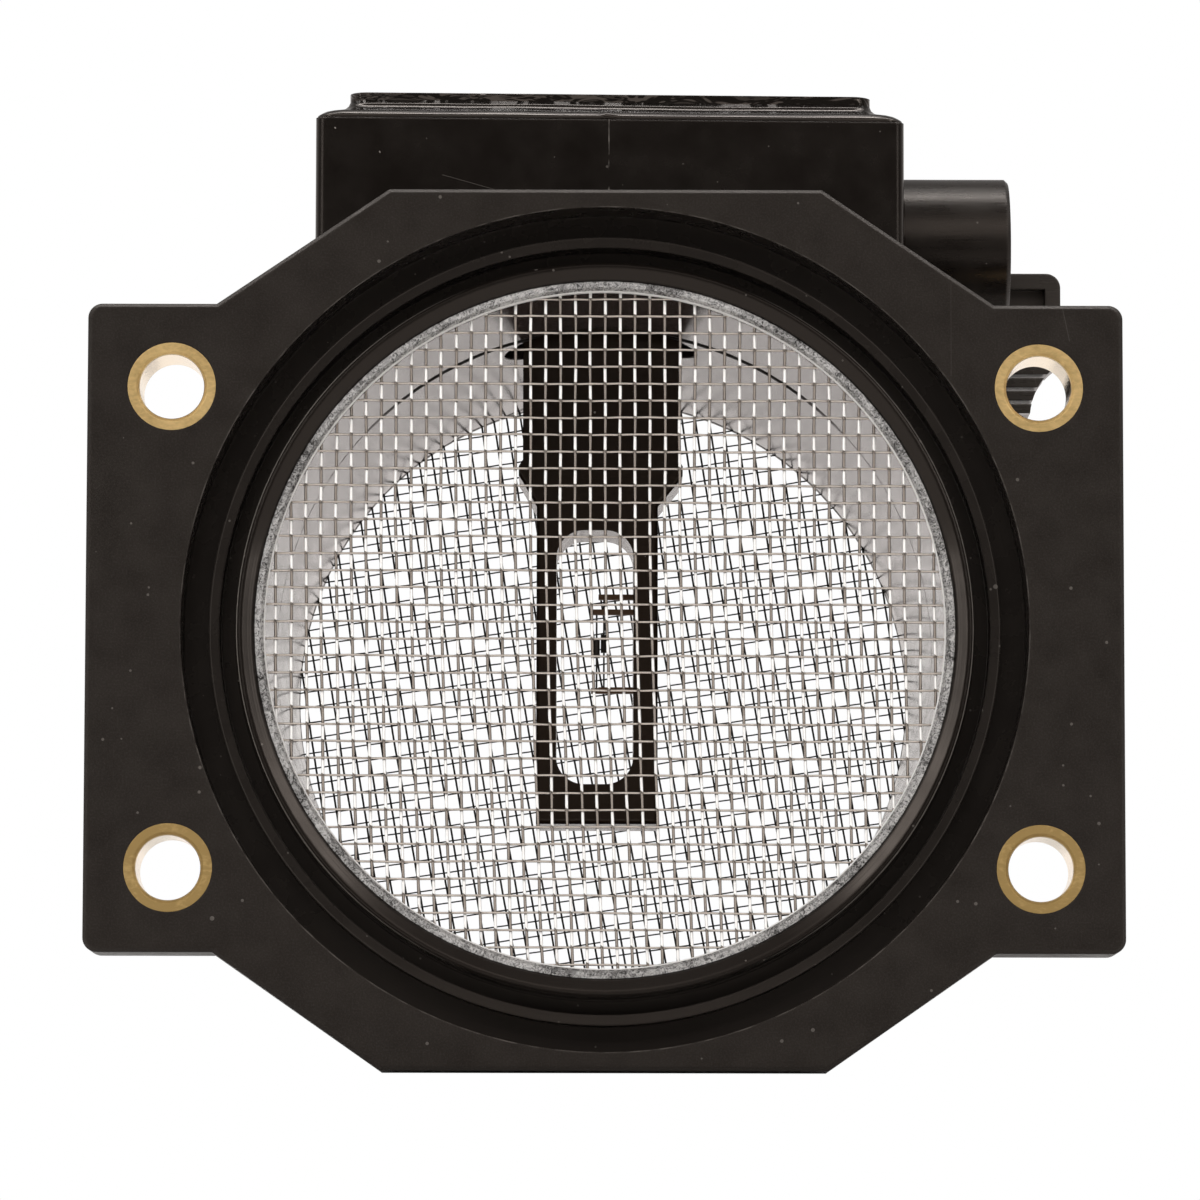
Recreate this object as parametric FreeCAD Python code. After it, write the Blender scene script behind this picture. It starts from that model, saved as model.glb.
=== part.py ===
import FreeCAD, Part
import math
import os
from FreeCAD import Vector

# A hot-wire mass airflow sensor: a moulded flow tube with a four-hole flange, a woven screen
# at each end, a sensor bar across the bore and an electronics box on top.
#
# The frame: the origin is the centre of the bore on the front face of the flange, +Y is the
# way the air flows, +Z is up to the electronics box and +X is the connector's side.
# All sizes are in millimetres.

# Flange
BOLT_SPACING_X = 90.0
BOLT_SPACING_Z = 50.0
FLANGE_THICK = 8.0
FLANGE_RIM = 1.9
FLANGE_EDGE_LENGTH = 45.0
FLANGE_FOOT_LENGTH = 46.1
EAR_MARGIN_X = 8.75
EAR_MARGIN_Z = 8.7
EAR_LENGTH = 13.35
EAR_CORNER = 1.5
FLANGE_CHAMFER = 0.4

# Brass bushes
BUSH_BORE = 6.7
BUSH_WALL = 1.23
BUSH_CHAMFER = 0.35

# Flow tube
BORE_RADIUS = 35.3
TUBE_WALL = 3.3
SPIGOT_WALL = 2.8
SPIGOT_LENGTH = 25.0
HOSE_STOP = 1.0
SEAM_DEPTH = 30.0
SEAM_WIDTH = 0.5
SEAM_CUT = 0.35

# Seal moat and lip round the inlet
MOAT_WIDTH = 5.7
MOAT_FLOOR = 2.0
RIDGE_GAP = 2.8
RIDGE_WIDTH = 1.1
RIDGE_DROP = 2.4
LIP_WIDTH = 1.35
LIP_DROP = 0.6
LIP_BEVEL = 0.3
LIP_CREST = 0.3
LIP_HOLD = 0.55

# Screens and the rings that hold them
SCREEN_THICK = 0.5
SCREEN_LAYER = 0.3
SCREEN_HOOP = 2.05
SCREEN_BAR = 2.2
SCREEN_PITCH = 6.4
RING_SEAT = 1.55
RING_LENGTH = 1.25
RING_INSET = 1.4
RING_BEVEL = 0.6
RING_LIP = 0.45
RING_FIT = 0.05
REAR_SCREEN_TURN = 9.5

# Sensor bar
BAR_SETBACK = 19.0
BAR_LENGTH = 11.7
BAR_SHIFT = -0.4
BLADE_SHIFT = -0.36
BAR_WIDTH = 13.15
BAR_TOP_WIDTH = 16.9
BAR_BULGE = 17.8
BAR_BULGE_Z = 20.3
BAR_BULGE_HALF = 0.5
BAR_BULGE_SLOPE = 0.7
BAR_SHOULDER_Z = 16.4
BAR_BOTTOM_Z = -18.1
BAR_ROUND = 0.5
WINDOW_SHIFT = -0.6
WINDOW_WIDTH = 8.34
WINDOW_HEIGHT = 27.6
WINDOW_ROUND = 3.0
PLUG_RADIUS = 10.5
PLUG_FIT = 0.1
PLUG_RECESS = 0.5
BOSS_WALL = 2.5
HOLDER_HALF_X = 12.5
HOLDER_HALF_Y = 11.5
HOLDER_THICK = 4.4
SEAL_DEPTH = 1.1
SEAL_HEIGHT = 1.6

# Support pins and sensing elements
PIN_THICK = 0.6
PIN_WALL_GAP = 0.4
PIN_SPACING = 1.1
HOT_PIN_INSET = 3.5
PIN_ROW_SPACING = 4.5
HOT_PIN_HIGH_Z = 5.2
HOT_PIN_LOW_Z = -3.4
COLD_PIN_HIGH_Z = 7.3
COLD_PIN_LOW_Z = -2.9
HOT_TIP_X = -1.4
COLD_TIP_X = -0.6
PIN_RISE = 1.3
ELEMENT_DIAMETER = 0.7
ELEMENT_LENGTH = 2.0
HOT_ELEMENT_Z = 1.2
COLD_ELEMENT_Z = 2.2
LEAD_THICK = 0.2

# Electronics box
BOX_SETBACK = 6.0
BOX_LENGTH = 52.0
BOX_LEFT = 30.8
BOX_RIGHT = 31.75
BOX_WALL = 4.6
BOX_ROUND = 1.2
BOX_FLOOR_RISE = 1.0
BOX_FLOOR_THICK = 2.8
BOX_DEPTH = 16.0
ROOF_TILT = 0.42
LEDGE = 5.0
WEB_THICK = 2.6
WEB_FOOT_Z = 8.2

# Cover plate and sealant bead
COVER_INSET_X = 3.5
COVER_INSET_Y = 2.4
COVER_THICK = 1.6
COVER_ROUND = 2.0
BEAD_THICK = 1.5
BEAD_EDGE = 0.3
BEAD_CLIMB = 0.9
BEAD_SHOULDER = 0.2
BEAD_WAIST_IN = 0.45
BEAD_WAIST_UP = 0.4

# Connector
SHROUD_RADIUS = 8.0
SHROUD_STRAIGHT = 8.0
SHROUD_SETBACK = 9.0
SHROUD_RISE = 4.3
SHROUD_REACH = 11.9
SHROUD_WALL = 1.9
SHROUD_BEVEL = 0.4
TERMINAL_COUNT = 5
TERMINAL_PITCH = 3.6
TERMINAL_WIDTH = 1.8
TERMINAL_THICK = 0.8
TERMINAL_REACH = 9.0
TERMINAL_PAD = 4.5

# Guard plate behind the connector
GUARD_GAP = 0.2
GUARD_THICK = 5.0
GUARD_REACH = 18.8
GUARD_RISE = 4.5
GUARD_EDGE_HEIGHT = 10.0
GUARD_FOOT_HEIGHT = 5.6
GUARD_ROOT_X = 24.0
GUARD_LOW_REACH = 15.4
GUARD_ROUND = 1.6
GUARD_SWEEP = 0.55
GUARD_BORDER = 1.7
GUARD_POCKET = 1.5
GUARD_SLOT = 0.4
GUARD_SLOT_LENGTH = 6.0
GUARD_SLOT_PITCH = 1.45

# Gussets behind the flange
GUSSET_THICK = 2.5
GUSSET_LENGTH = 12.0
GUSSET_ANGLES = (-60.0, -28.0, 28.0, 152.0, 208.0, 240.0)

# Circuit
PLATE_THICK = 1.5
PLATE_GAP = 0.4
PLATE_RIGHT_GAP = 6.0
SUBSTRATE_THICK = 0.8
SUBSTRATE_MARGIN = 1.2
PLATE_WINDOW_X = 6.0
PLATE_WINDOW_Y = 12.0
JUMPER_WIDTH = 0.7
JUMPER_THICK = 0.25
JUMPER_ARCH = 1.2
JUMPER_FOOT = 1.2
JUMPER_LEAN = 0.5
JUMPER_EDGE = 1.5

# How far a joined feature reaches into what carries it, and a cut past the face it opens
PAST = 1.0

# Sizes that follow from the ones above
SEAT_RADIUS = BORE_RADIUS + RING_SEAT
LIP_RADIUS = SEAT_RADIUS + LIP_WIDTH
MOAT_RADIUS = LIP_RADIUS + MOAT_WIDTH
RIDGE_RADIUS = MOAT_RADIUS - RIDGE_GAP
TUBE_RADIUS = BORE_RADIUS + TUBE_WALL
SPIGOT_RADIUS = BORE_RADIUS + SPIGOT_WALL
FLANGE_HALF_HEIGHT = MOAT_RADIUS + FLANGE_RIM
EAR_REACH = BOLT_SPACING_X / 2 + EAR_MARGIN_X
EAR_HALF_HEIGHT = BOLT_SPACING_Z / 2 + EAR_MARGIN_Z
BUSH_RADIUS = BUSH_BORE / 2 + BUSH_WALL
MOAT_DEPTH = FLANGE_THICK - MOAT_FLOOR
FLOOR_Z = TUBE_RADIUS + BOX_FLOOR_RISE
RIM_Z = FLOOR_Z + BOX_DEPTH
BOX_FRONT = FLANGE_THICK + BOX_SETBACK
BOX_BACK = BOX_FRONT + BOX_LENGTH
TUBE_LENGTH = BOX_BACK + HOSE_STOP + SPIGOT_LENGTH
BAR_FRONT = BOX_FRONT + BAR_SETBACK
BAR_MID = BAR_FRONT + BAR_LENGTH / 2
HOT_PIN_Y = BAR_FRONT + HOT_PIN_INSET
COLD_PIN_Y = HOT_PIN_Y + PIN_ROW_SPACING
PLATE_Z = FLOOR_Z + HOLDER_THICK
SUBSTRATE_Z = PLATE_Z + PLATE_THICK
BOARD_TOP = SUBSTRATE_Z + SUBSTRATE_THICK
PLUG_Z = math.sqrt(BORE_RADIUS ** 2 - (BAR_TOP_WIDTH / 2) ** 2) + PLUG_RECESS + SEAL_DEPTH
WINDOW_X = BAR_SHIFT + WINDOW_SHIFT
HOLE_RADIUS = PLUG_RADIUS + PLUG_FIT
SHROUD_Y = BOX_FRONT + SHROUD_SETBACK + SHROUD_RADIUS + SHROUD_STRAIGHT / 2
SHROUD_Z = FLOOR_Z + SHROUD_RISE
SHROUD_END = BOX_RIGHT + SHROUD_REACH
PIN_INNER_X = WINDOW_X + WINDOW_WIDTH / 2 + PIN_WALL_GAP + PIN_THICK / 2
PIN_OUTER_X = PIN_INNER_X + PIN_SPACING
PIN_TOP = BOARD_TOP + PIN_RISE
WINDOW_MID_X = (PIN_INNER_X + PIN_OUTER_X) / 2
PIN_MID_Y = (HOT_PIN_Y + COLD_PIN_Y) / 2
PLATE_LEFT = BOX_WALL + PLATE_GAP - BOX_LEFT
PLATE_RIGHT = BOX_RIGHT - BOX_WALL - PLATE_RIGHT_GAP
PLATE_FRONT = BOX_FRONT + BOX_WALL + PLATE_GAP
PLATE_BACK = BOX_BACK - BOX_WALL - PLATE_GAP
BOARD_LEFT = PLATE_LEFT + SUBSTRATE_MARGIN
BOARD_RIGHT = PLATE_RIGHT - SUBSTRATE_MARGIN
BOARD_FRONT = PLATE_FRONT + SUBSTRATE_MARGIN
BOARD_BACK = PLATE_BACK - SUBSTRATE_MARGIN
GUARD_TOP_Z = FLOOR_Z + GUARD_RISE
GUARD_FOOT_Z = GUARD_TOP_Z - GUARD_EDGE_HEIGHT
GUARD_BOTTOM_Z = GUARD_FOOT_Z - GUARD_FOOT_HEIGHT

ALONG_X = Vector(1, 0, 0)
ALONG_Y = Vector(0, 1, 0)
ALONG_Z = Vector(0, 0, 1)


# Shapes that several pieces use

def box(x0, x1, y0, y1, z0, z1):
    return Part.makeBox(x1 - x0, y1 - y0, z1 - z0, Vector(x0, y0, z0))


def polygon_face(points):
    return Part.Face(Part.makePolygon([Vector(*point) for point in points + points[:1]]))


def front_profile(points, y0, y1):
    """Extrudes an outline of (x, z) points along the flow from y0 to y1."""
    face = polygon_face([(x, y0, z) for x, z in points])
    return face.extrude(Vector(0, y1 - y0, 0))


def turned(points):
    """Turns an outline of (radius, y) points round the axis of the bore."""
    return polygon_face([(radius, y, 0) for radius, y in points]).revolve(Vector(0, 0, 0), ALONG_Y, 360)


def rod(start, direction, length, diameter):
    return Part.makeCylinder(diameter / 2, length, start, direction)


def edges_along(shape, direction):
    """The straight edges of a shape that run along a direction."""
    found = []
    for edge in shape.Edges:
        if isinstance(edge.Curve, Part.Line) and abs(edge.Curve.Direction.dot(direction)) > 0.999:
            found.append(edge)
    return found


def rounded_box(x0, x1, y0, y1, z0, z1, radius):
    """A box whose upright edges are rounded."""
    plain = box(x0, x1, y0, y1, z0, z1)
    return plain.makeFillet(radius, edges_along(plain, ALONG_Z))


def oval(radius, straight, y_mid, z_mid, x0, x1):
    """A bar of oval section along X, with its long side along Y."""
    half = straight / 2
    middle = box(x0, x1, y_mid - half, y_mid + half, z_mid - radius, z_mid + radius)
    for side in (-half, half):
        end = Part.makeCylinder(radius, x1 - x0, Vector(x0, y_mid + side, z_mid), ALONG_X)
        middle = middle.fuse(end)
    return middle.removeSplitter()


def sloped(shape):
    """Leans a level shape on the rim by the small fall of the box's roof."""
    leaned = shape.copy()
    leaned.rotate(Vector(0, 0, RIM_Z), ALONG_Y, ROOF_TILT)
    return leaned


def box_outline(inset_x, inset_y, radius, z):
    """A rounded outline inside the walls of the electronics box."""
    solid = rounded_box(inset_x - BOX_LEFT, BOX_RIGHT - inset_x,
                        BOX_FRONT + inset_y, BOX_BACK - inset_y, z, z + PAST, radius)
    lowest = min(solid.Faces, key=lambda face: face.CenterOfMass.z)
    return lowest.OuterWire


# Flow body

def flange():
    """The plate with its two ears and slanted shoulders, chamfered along the front edge."""
    top = FLANGE_HALF_HEIGHT
    root = EAR_REACH - EAR_LENGTH
    right = [(FLANGE_EDGE_LENGTH / 2, top), (root, EAR_HALF_HEIGHT), (EAR_REACH, EAR_HALF_HEIGHT),
             (EAR_REACH, -EAR_HALF_HEIGHT), (root, -EAR_HALF_HEIGHT), (FLANGE_FOOT_LENGTH / 2, -top)]
    outline = right + [(-x, z) for x, z in reversed(right)]
    plate = front_profile(outline, 0, FLANGE_THICK)
    corners = [edge for edge in edges_along(plate, ALONG_Y)
               if abs(edge.CenterOfMass.x) > EAR_REACH - 0.01]
    plate = plate.makeFillet(EAR_CORNER, corners)
    front = [edge for edge in plate.Edges if edge.BoundBox.YMax < 0.001]
    return plate.makeChamfer(FLANGE_CHAMFER, front)


def air_passage():
    """All that is open round the axis: moat, lip, ring seats, bore and seam."""
    seat_front = RING_INSET + RING_LENGTH + SCREEN_THICK
    seat_back = TUBE_LENGTH - seat_front
    ridge_inner = RIDGE_RADIUS - RIDGE_WIDTH
    return turned([
        (0, -PAST),
        (MOAT_RADIUS, -PAST),
        (MOAT_RADIUS, MOAT_DEPTH),
        (RIDGE_RADIUS, MOAT_DEPTH),
        (RIDGE_RADIUS, RIDGE_DROP),
        (ridge_inner, RIDGE_DROP),
        (ridge_inner, MOAT_DEPTH),
        (LIP_RADIUS, MOAT_DEPTH),
        (LIP_RADIUS, LIP_DROP + LIP_BEVEL),
        (LIP_RADIUS - LIP_BEVEL, LIP_DROP),
        (LIP_RADIUS - LIP_BEVEL - LIP_CREST, LIP_DROP),
        (SEAT_RADIUS - LIP_HOLD, RING_INSET - RING_FIT),
        (SEAT_RADIUS, RING_INSET - RING_FIT),
        (SEAT_RADIUS, seat_front),
        (BORE_RADIUS, seat_front),
        (BORE_RADIUS, SEAM_DEPTH),
        (BORE_RADIUS + SEAM_CUT, SEAM_DEPTH),
        (BORE_RADIUS + SEAM_CUT, SEAM_DEPTH + SEAM_WIDTH),
        (BORE_RADIUS, SEAM_DEPTH + SEAM_WIDTH),
        (BORE_RADIUS, seat_back),
        (SEAT_RADIUS, seat_back),
        (SEAT_RADIUS, TUBE_LENGTH + PAST),
        (0, TUBE_LENGTH + PAST),
    ])


def box_shell():
    """The walls and floor of the electronics box, with the webs that carry it on the tube."""
    outer = rounded_box(-BOX_LEFT, BOX_RIGHT, BOX_FRONT, BOX_BACK,
                        FLOOR_Z - BOX_FLOOR_THICK, 2 * RIM_Z, BOX_ROUND)
    above = box(-2 * BOX_LEFT, 2 * BOX_RIGHT, 0, 2 * BOX_BACK, RIM_Z, 3 * RIM_Z)
    shell = outer.cut(sloped(above))
    inside = rounded_box(BOX_WALL - BOX_LEFT, BOX_RIGHT - BOX_WALL,
                         BOX_FRONT + BOX_WALL, BOX_BACK - BOX_WALL, FLOOR_Z, 2 * RIM_Z, BOX_ROUND)
    shell = shell.cut(inside)
    for x0 in (BOX_WALL - BOX_LEFT - PAST, PLATE_RIGHT - PLATE_GAP - LEDGE):
        for y0 in (BOX_FRONT + BOX_WALL - PAST, BOX_BACK - BOX_WALL - LEDGE):
            shell = shell.fuse(box(x0, x0 + LEDGE + PAST, y0, y0 + LEDGE + PAST, FLOOR_Z - PAST, PLATE_Z))
    span = (TERMINAL_COUNT - 1) * TERMINAL_PITCH + 2 * TERMINAL_WIDTH
    shelf = box(BOX_RIGHT - BOX_WALL - TERMINAL_PAD, BOX_RIGHT - PAST, SHROUD_Y - span / 2,
                SHROUD_Y + span / 2, FLOOR_Z - PAST, SHROUD_Z - TERMINAL_THICK / 2)
    shell = shell.fuse(shelf)
    for y0 in (BOX_FRONT, BAR_MID - WEB_THICK / 2, BOX_BACK - WEB_THICK):
        for side, reach in ((-1, BOX_LEFT), (1, BOX_RIGHT)):
            shell = shell.fuse(web(side, reach - BOX_ROUND, y0))
    return shell


def web(side, reach, y0):
    """A rib from the underside of the box down to the side of the tube."""
    under = FLOOR_Z - BOX_FLOOR_THICK
    return front_profile([(0, under + PAST), (side * reach, under + PAST), (side * reach, under - PAST),
                          (side * (TUBE_RADIUS - PAST), WEB_FOOT_Z), (0, WEB_FOOT_Z)],
                         y0, y0 + WEB_THICK)


def shroud():
    """The oval connector barrel that stands out of the box's right wall."""
    barrel = oval(SHROUD_RADIUS, SHROUD_STRAIGHT, SHROUD_Y, SHROUD_Z, BOX_RIGHT - PAST, SHROUD_END)
    rim = [edge for edge in barrel.Edges if edge.BoundBox.XMin > SHROUD_END - 0.01]
    return barrel.makeChamfer(SHROUD_BEVEL, rim)


def socket():
    """The room inside the connector barrel."""
    return oval(SHROUD_RADIUS - SHROUD_WALL, SHROUD_STRAIGHT, SHROUD_Y, SHROUD_Z,
                BOX_RIGHT, SHROUD_END + PAST)


def guard():
    """The slotted plate behind the connector, framed in front and hollowed below."""
    y0 = SHROUD_Y + SHROUD_STRAIGHT / 2 + SHROUD_RADIUS - GUARD_GAP
    y1 = y0 + GUARD_THICK
    right = BOX_RIGHT + GUARD_REACH
    low = BOX_RIGHT + GUARD_LOW_REACH
    curve = Part.Arc(Vector(right, y0, GUARD_FOOT_Z),
                     Vector((right + low) / 2 - GUARD_SWEEP, y0,
                            (GUARD_FOOT_Z + GUARD_BOTTOM_Z) / 2 + GUARD_SWEEP),
                     Vector(low, y0, GUARD_BOTTOM_Z)).toShape()
    straight = Part.makePolygon([Vector(low, y0, GUARD_BOTTOM_Z), Vector(GUARD_ROOT_X, y0, GUARD_BOTTOM_Z),
                                 Vector(GUARD_ROOT_X, y0, GUARD_TOP_Z), Vector(right, y0, GUARD_TOP_Z),
                                 Vector(right, y0, GUARD_FOOT_Z)])
    plate = Part.Face(Part.Wire([curve] + straight.Edges)).extrude(Vector(0, GUARD_THICK, 0))
    corner = [edge for edge in edges_along(plate, ALONG_Y)
              if edge.CenterOfMass.x > right - 0.01 and edge.CenterOfMass.z > GUARD_TOP_Z - 0.01]
    plate = plate.makeFillet(GUARD_ROUND, corner)
    pocket = box(BOX_RIGHT, right - GUARD_BORDER, y0 - PAST, y0 + GUARD_POCKET,
                 GUARD_FOOT_Z, GUARD_TOP_Z - GUARD_BORDER)
    plate = plate.cut(pocket)
    slots = int(GUARD_FOOT_HEIGHT / GUARD_SLOT_PITCH)
    for row in range(slots):
        z = GUARD_FOOT_Z - (row + 1) * GUARD_SLOT_PITCH
        plate = plate.cut(box(low - GUARD_SLOT_LENGTH, right + PAST, y0 - PAST, y1 + PAST,
                              z - GUARD_SLOT / 2, z + GUARD_SLOT / 2))
    return plate


def gusset(angle):
    """A triangular rib between the back of the flange and the tube."""
    face = polygon_face([(TUBE_RADIUS - PAST, FLANGE_THICK - PAST, 0),
                         (MOAT_RADIUS, FLANGE_THICK - PAST, 0),
                         (MOAT_RADIUS, FLANGE_THICK, 0),
                         (TUBE_RADIUS, FLANGE_THICK + GUSSET_LENGTH, 0),
                         (TUBE_RADIUS - PAST, FLANGE_THICK + GUSSET_LENGTH, 0)])
    rib = face.extrude(Vector(0, 0, GUSSET_THICK))
    rib.translate(Vector(0, 0, -GUSSET_THICK / 2))
    rib.rotate(Vector(0, 0, 0), ALONG_Y, -angle)
    return rib


def bush_centres():
    names = {("upper", "left"): (-1, 1), ("upper", "right"): (1, 1),
             ("lower", "left"): (-1, -1), ("lower", "right"): (1, -1)}
    return {"bush_%s_%s" % name: (x * BOLT_SPACING_X / 2, z * BOLT_SPACING_Z / 2)
            for name, (x, z) in names.items()}


def flow_body():
    tube = Part.makeCylinder(TUBE_RADIUS, BOX_BACK + HOSE_STOP, Vector(0, 0, 0), ALONG_Y)
    spigot = Part.makeCylinder(SPIGOT_RADIUS, TUBE_LENGTH, Vector(0, 0, 0), ALONG_Y)
    boss_foot = BORE_RADIUS - TUBE_WALL
    boss = Part.makeCylinder(HOLE_RADIUS + BOSS_WALL, FLOOR_Z - boss_foot,
                             Vector(BAR_SHIFT, BAR_MID, boss_foot), ALONG_Z)
    body = flange().fuse([tube, spigot, box_shell(), shroud(), guard(), boss])
    body = body.fuse([gusset(angle) for angle in GUSSET_ANGLES])
    body = body.cut(air_passage()).cut(socket())
    hole = Part.makeCylinder(HOLE_RADIUS, FLOOR_Z, Vector(BAR_SHIFT, BAR_MID, BAR_BULGE_Z), ALONG_Z)
    body = body.cut(hole)
    for x, z in bush_centres().values():
        body = body.cut(rod(Vector(x, -PAST, z), ALONG_Y, FLANGE_THICK + 2 * PAST, 2 * BUSH_RADIUS))
    for number in range(TERMINAL_COUNT):
        body = body.cut(terminal(number))
    return body.removeSplitter()


# Bushes, screens and rings

def bush(x, z):
    """A brass sleeve as long as the flange is thick, chamfered at its front mouth."""
    sleeve = rod(Vector(x, 0, z), ALONG_Y, FLANGE_THICK, 2 * BUSH_RADIUS)
    sleeve = sleeve.cut(rod(Vector(x, -PAST, z), ALONG_Y, FLANGE_THICK + 2 * PAST, BUSH_BORE))
    mouth = [edge for edge in sleeve.Edges
             if isinstance(edge.Curve, Part.Circle) and abs(edge.Curve.Radius - BUSH_BORE / 2) < 0.01
             and edge.BoundBox.YMax < FLANGE_THICK / 2]
    return sleeve.makeChamfer(BUSH_CHAMFER, mouth)


def mirrored(y, backwards):
    """A distance along the bore, from the inlet or from the outlet."""
    return TUBE_LENGTH - y if backwards else y


def screen_ring(backwards):
    """A flat metal ring with a bevelled inner lip that clamps the screen on its seat."""
    outer = SEAT_RADIUS - RING_FIT
    inner = BORE_RADIUS - RING_FIT
    points = [(outer, 0), (inner + RING_LIP, 0), (inner, RING_BEVEL), (inner, RING_LENGTH),
              (outer, RING_LENGTH)]
    return turned([(radius, mirrored(RING_INSET + y, backwards)) for radius, y in points])


def screen_middle(backwards):
    """The distance along the bore of the middle of a screen."""
    return mirrored(RING_INSET + RING_LENGTH + SCREEN_THICK / 2, backwards)


def screen(backwards):
    """A screen: two layers of crossing bars that stand proud of each other, in a thin hoop."""
    middle = screen_middle(backwards)
    outer = SEAT_RADIUS - RING_FIT
    clear = outer - SCREEN_HOOP
    y0 = middle - SCREEN_THICK / 2
    y1 = middle + SCREEN_THICK / 2
    count = int(clear / SCREEN_PITCH)
    bars = []
    for number in range(-count, count + 1):
        place = number * SCREEN_PITCH
        low = place - SCREEN_BAR / 2
        high = place + SCREEN_BAR / 2
        if abs(place) + SCREEN_BAR / 2 < clear:
            bars.append(box(low, high, y0, y0 + SCREEN_LAYER, -outer, outer))
            bars.append(box(-outer, outer, y1 - SCREEN_LAYER, y1, low, high))
    grid = bars[0].fuse(bars[1:])
    disc = Part.makeCylinder(outer, SCREEN_THICK, Vector(0, y0, 0), ALONG_Y)
    hole = Part.makeCylinder(clear, SCREEN_THICK, Vector(0, y0, 0), ALONG_Y)
    cloth = disc.cut(hole).fuse(grid.common(disc))
    cloth = cloth.removeSplitter()
    if backwards:
        cloth.rotate(Vector(0, 0, 0), ALONG_Y, -REAR_SCREEN_TURN)
    return cloth


# Sensor bar

def bar_blade():
    """The blade that hangs into the bore, with bulged shoulders and a round-ended window."""
    bulge = BAR_BULGE / 2
    slope = BAR_BULGE_HALF + BAR_BULGE_SLOPE
    right = [(BAR_TOP_WIDTH / 2, PLUG_Z), (BAR_TOP_WIDTH / 2, BAR_BULGE_Z + slope),
             (bulge, BAR_BULGE_Z + BAR_BULGE_HALF), (bulge, BAR_BULGE_Z - BAR_BULGE_HALF),
             (BAR_TOP_WIDTH / 2, BAR_BULGE_Z - slope)]
    foot = [(BLADE_SHIFT + BAR_WIDTH / 2, BAR_SHOULDER_Z), (BLADE_SHIFT + BAR_WIDTH / 2, BAR_BOTTOM_Z),
            (BLADE_SHIFT - BAR_WIDTH / 2, BAR_BOTTOM_Z), (BLADE_SHIFT - BAR_WIDTH / 2, BAR_SHOULDER_Z)]
    left = [(-x, z) for x, z in reversed(right)]
    outline = [(BAR_SHIFT + x, z) for x, z in right + foot + left]
    blade = front_profile(outline, BAR_FRONT, BAR_FRONT + BAR_LENGTH)
    upright = [edge for edge in blade.Edges
               if edge.BoundBox.ZMax < BAR_BULGE_Z - slope + 0.1 and edge.BoundBox.YLength < 0.01]
    blade = blade.makeFillet(BAR_ROUND, upright)
    half = WINDOW_WIDTH / 2
    window = box(WINDOW_X - half, WINDOW_X + half, BAR_FRONT - PAST, BAR_FRONT + BAR_LENGTH + PAST,
                 -WINDOW_HEIGHT / 2, WINDOW_HEIGHT / 2)
    window = window.makeFillet(WINDOW_ROUND, edges_along(window, ALONG_Y))
    return blade.cut(window)


def sensor_bar():
    """The blade with the round plug, seal groove and mounting plate at its head."""
    plug = Part.makeCylinder(PLUG_RADIUS, FLOOR_Z - PLUG_Z, Vector(BAR_SHIFT, BAR_MID, PLUG_Z), ALONG_Z)
    plate = rounded_box(BAR_SHIFT - HOLDER_HALF_X, BAR_SHIFT + HOLDER_HALF_X, BAR_MID - HOLDER_HALF_Y,
                        BAR_MID + HOLDER_HALF_Y, FLOOR_Z, PLATE_Z, BOX_ROUND)
    bar = bar_blade().fuse([plug, plate])
    bar = bar.cut(bar_seal())
    for pin in pin_names():
        bar = bar.cut(support_pin(pin))
    return bar.removeSplitter()


def bar_seal():
    """The rubber ring in the groove of the plug, pressed to the wall of its hole."""
    middle = (PLUG_Z + FLOOR_Z) / 2
    low = middle - SEAL_HEIGHT / 2
    foot = Vector(BAR_SHIFT, BAR_MID, low)
    outside = Part.makeCylinder(HOLE_RADIUS, SEAL_HEIGHT, foot, ALONG_Z)
    inside = Part.makeCylinder(PLUG_RADIUS - SEAL_DEPTH, SEAL_HEIGHT, foot, ALONG_Z)
    return outside.cut(inside)


# Support pins and sensing elements

def pin_names():
    return {"hot_pin_high": (HOT_PIN_Y, HOT_PIN_HIGH_Z, HOT_TIP_X, PIN_INNER_X),
            "hot_pin_low": (HOT_PIN_Y, HOT_PIN_LOW_Z, HOT_TIP_X, PIN_OUTER_X),
            "cold_pin_high": (COLD_PIN_Y, COLD_PIN_HIGH_Z, COLD_TIP_X, PIN_INNER_X),
            "cold_pin_low": (COLD_PIN_Y, COLD_PIN_LOW_Z, COLD_TIP_X, PIN_OUTER_X)}


def support_pin(name):
    """A stamped pin: a leg across the window and a leg up through the bar to the circuit."""
    y, z, tip, heel = pin_names()[name]
    half = PIN_THICK / 2
    across = box(tip, heel + half, y - half, y + half, z - half, z + half)
    up = box(heel - half, heel + half, y - half, y + half, z - half, PIN_TOP)
    return across.fuse(up).removeSplitter()


def element(y, low, high, middle, tip):
    """A sensing element: a wound bobbin with a thin lead to the pin above and below it."""
    x = tip + PIN_THICK
    bottom = low + PIN_THICK / 2
    top = high - PIN_THICK / 2
    bobbin = rod(Vector(x, y, middle - ELEMENT_LENGTH / 2), ALONG_Z, ELEMENT_LENGTH, ELEMENT_DIAMETER)
    half = LEAD_THICK / 2
    lead = box(x - half, x + half, y - half, y + half, bottom, top)
    return bobbin.fuse(lead).removeSplitter()


# Circuit

def with_pin_window(plate):
    """Cuts the window through which the pins come up."""
    hole = box(WINDOW_MID_X - PLATE_WINDOW_X / 2, WINDOW_MID_X + PLATE_WINDOW_X / 2,
               PIN_MID_Y - PLATE_WINDOW_Y / 2, PIN_MID_Y + PLATE_WINDOW_Y / 2, 0, RIM_Z)
    return plate.cut(hole)


def base_plate():
    return with_pin_window(box(PLATE_LEFT, PLATE_RIGHT, PLATE_FRONT, PLATE_BACK, PLATE_Z, SUBSTRATE_Z))


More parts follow.
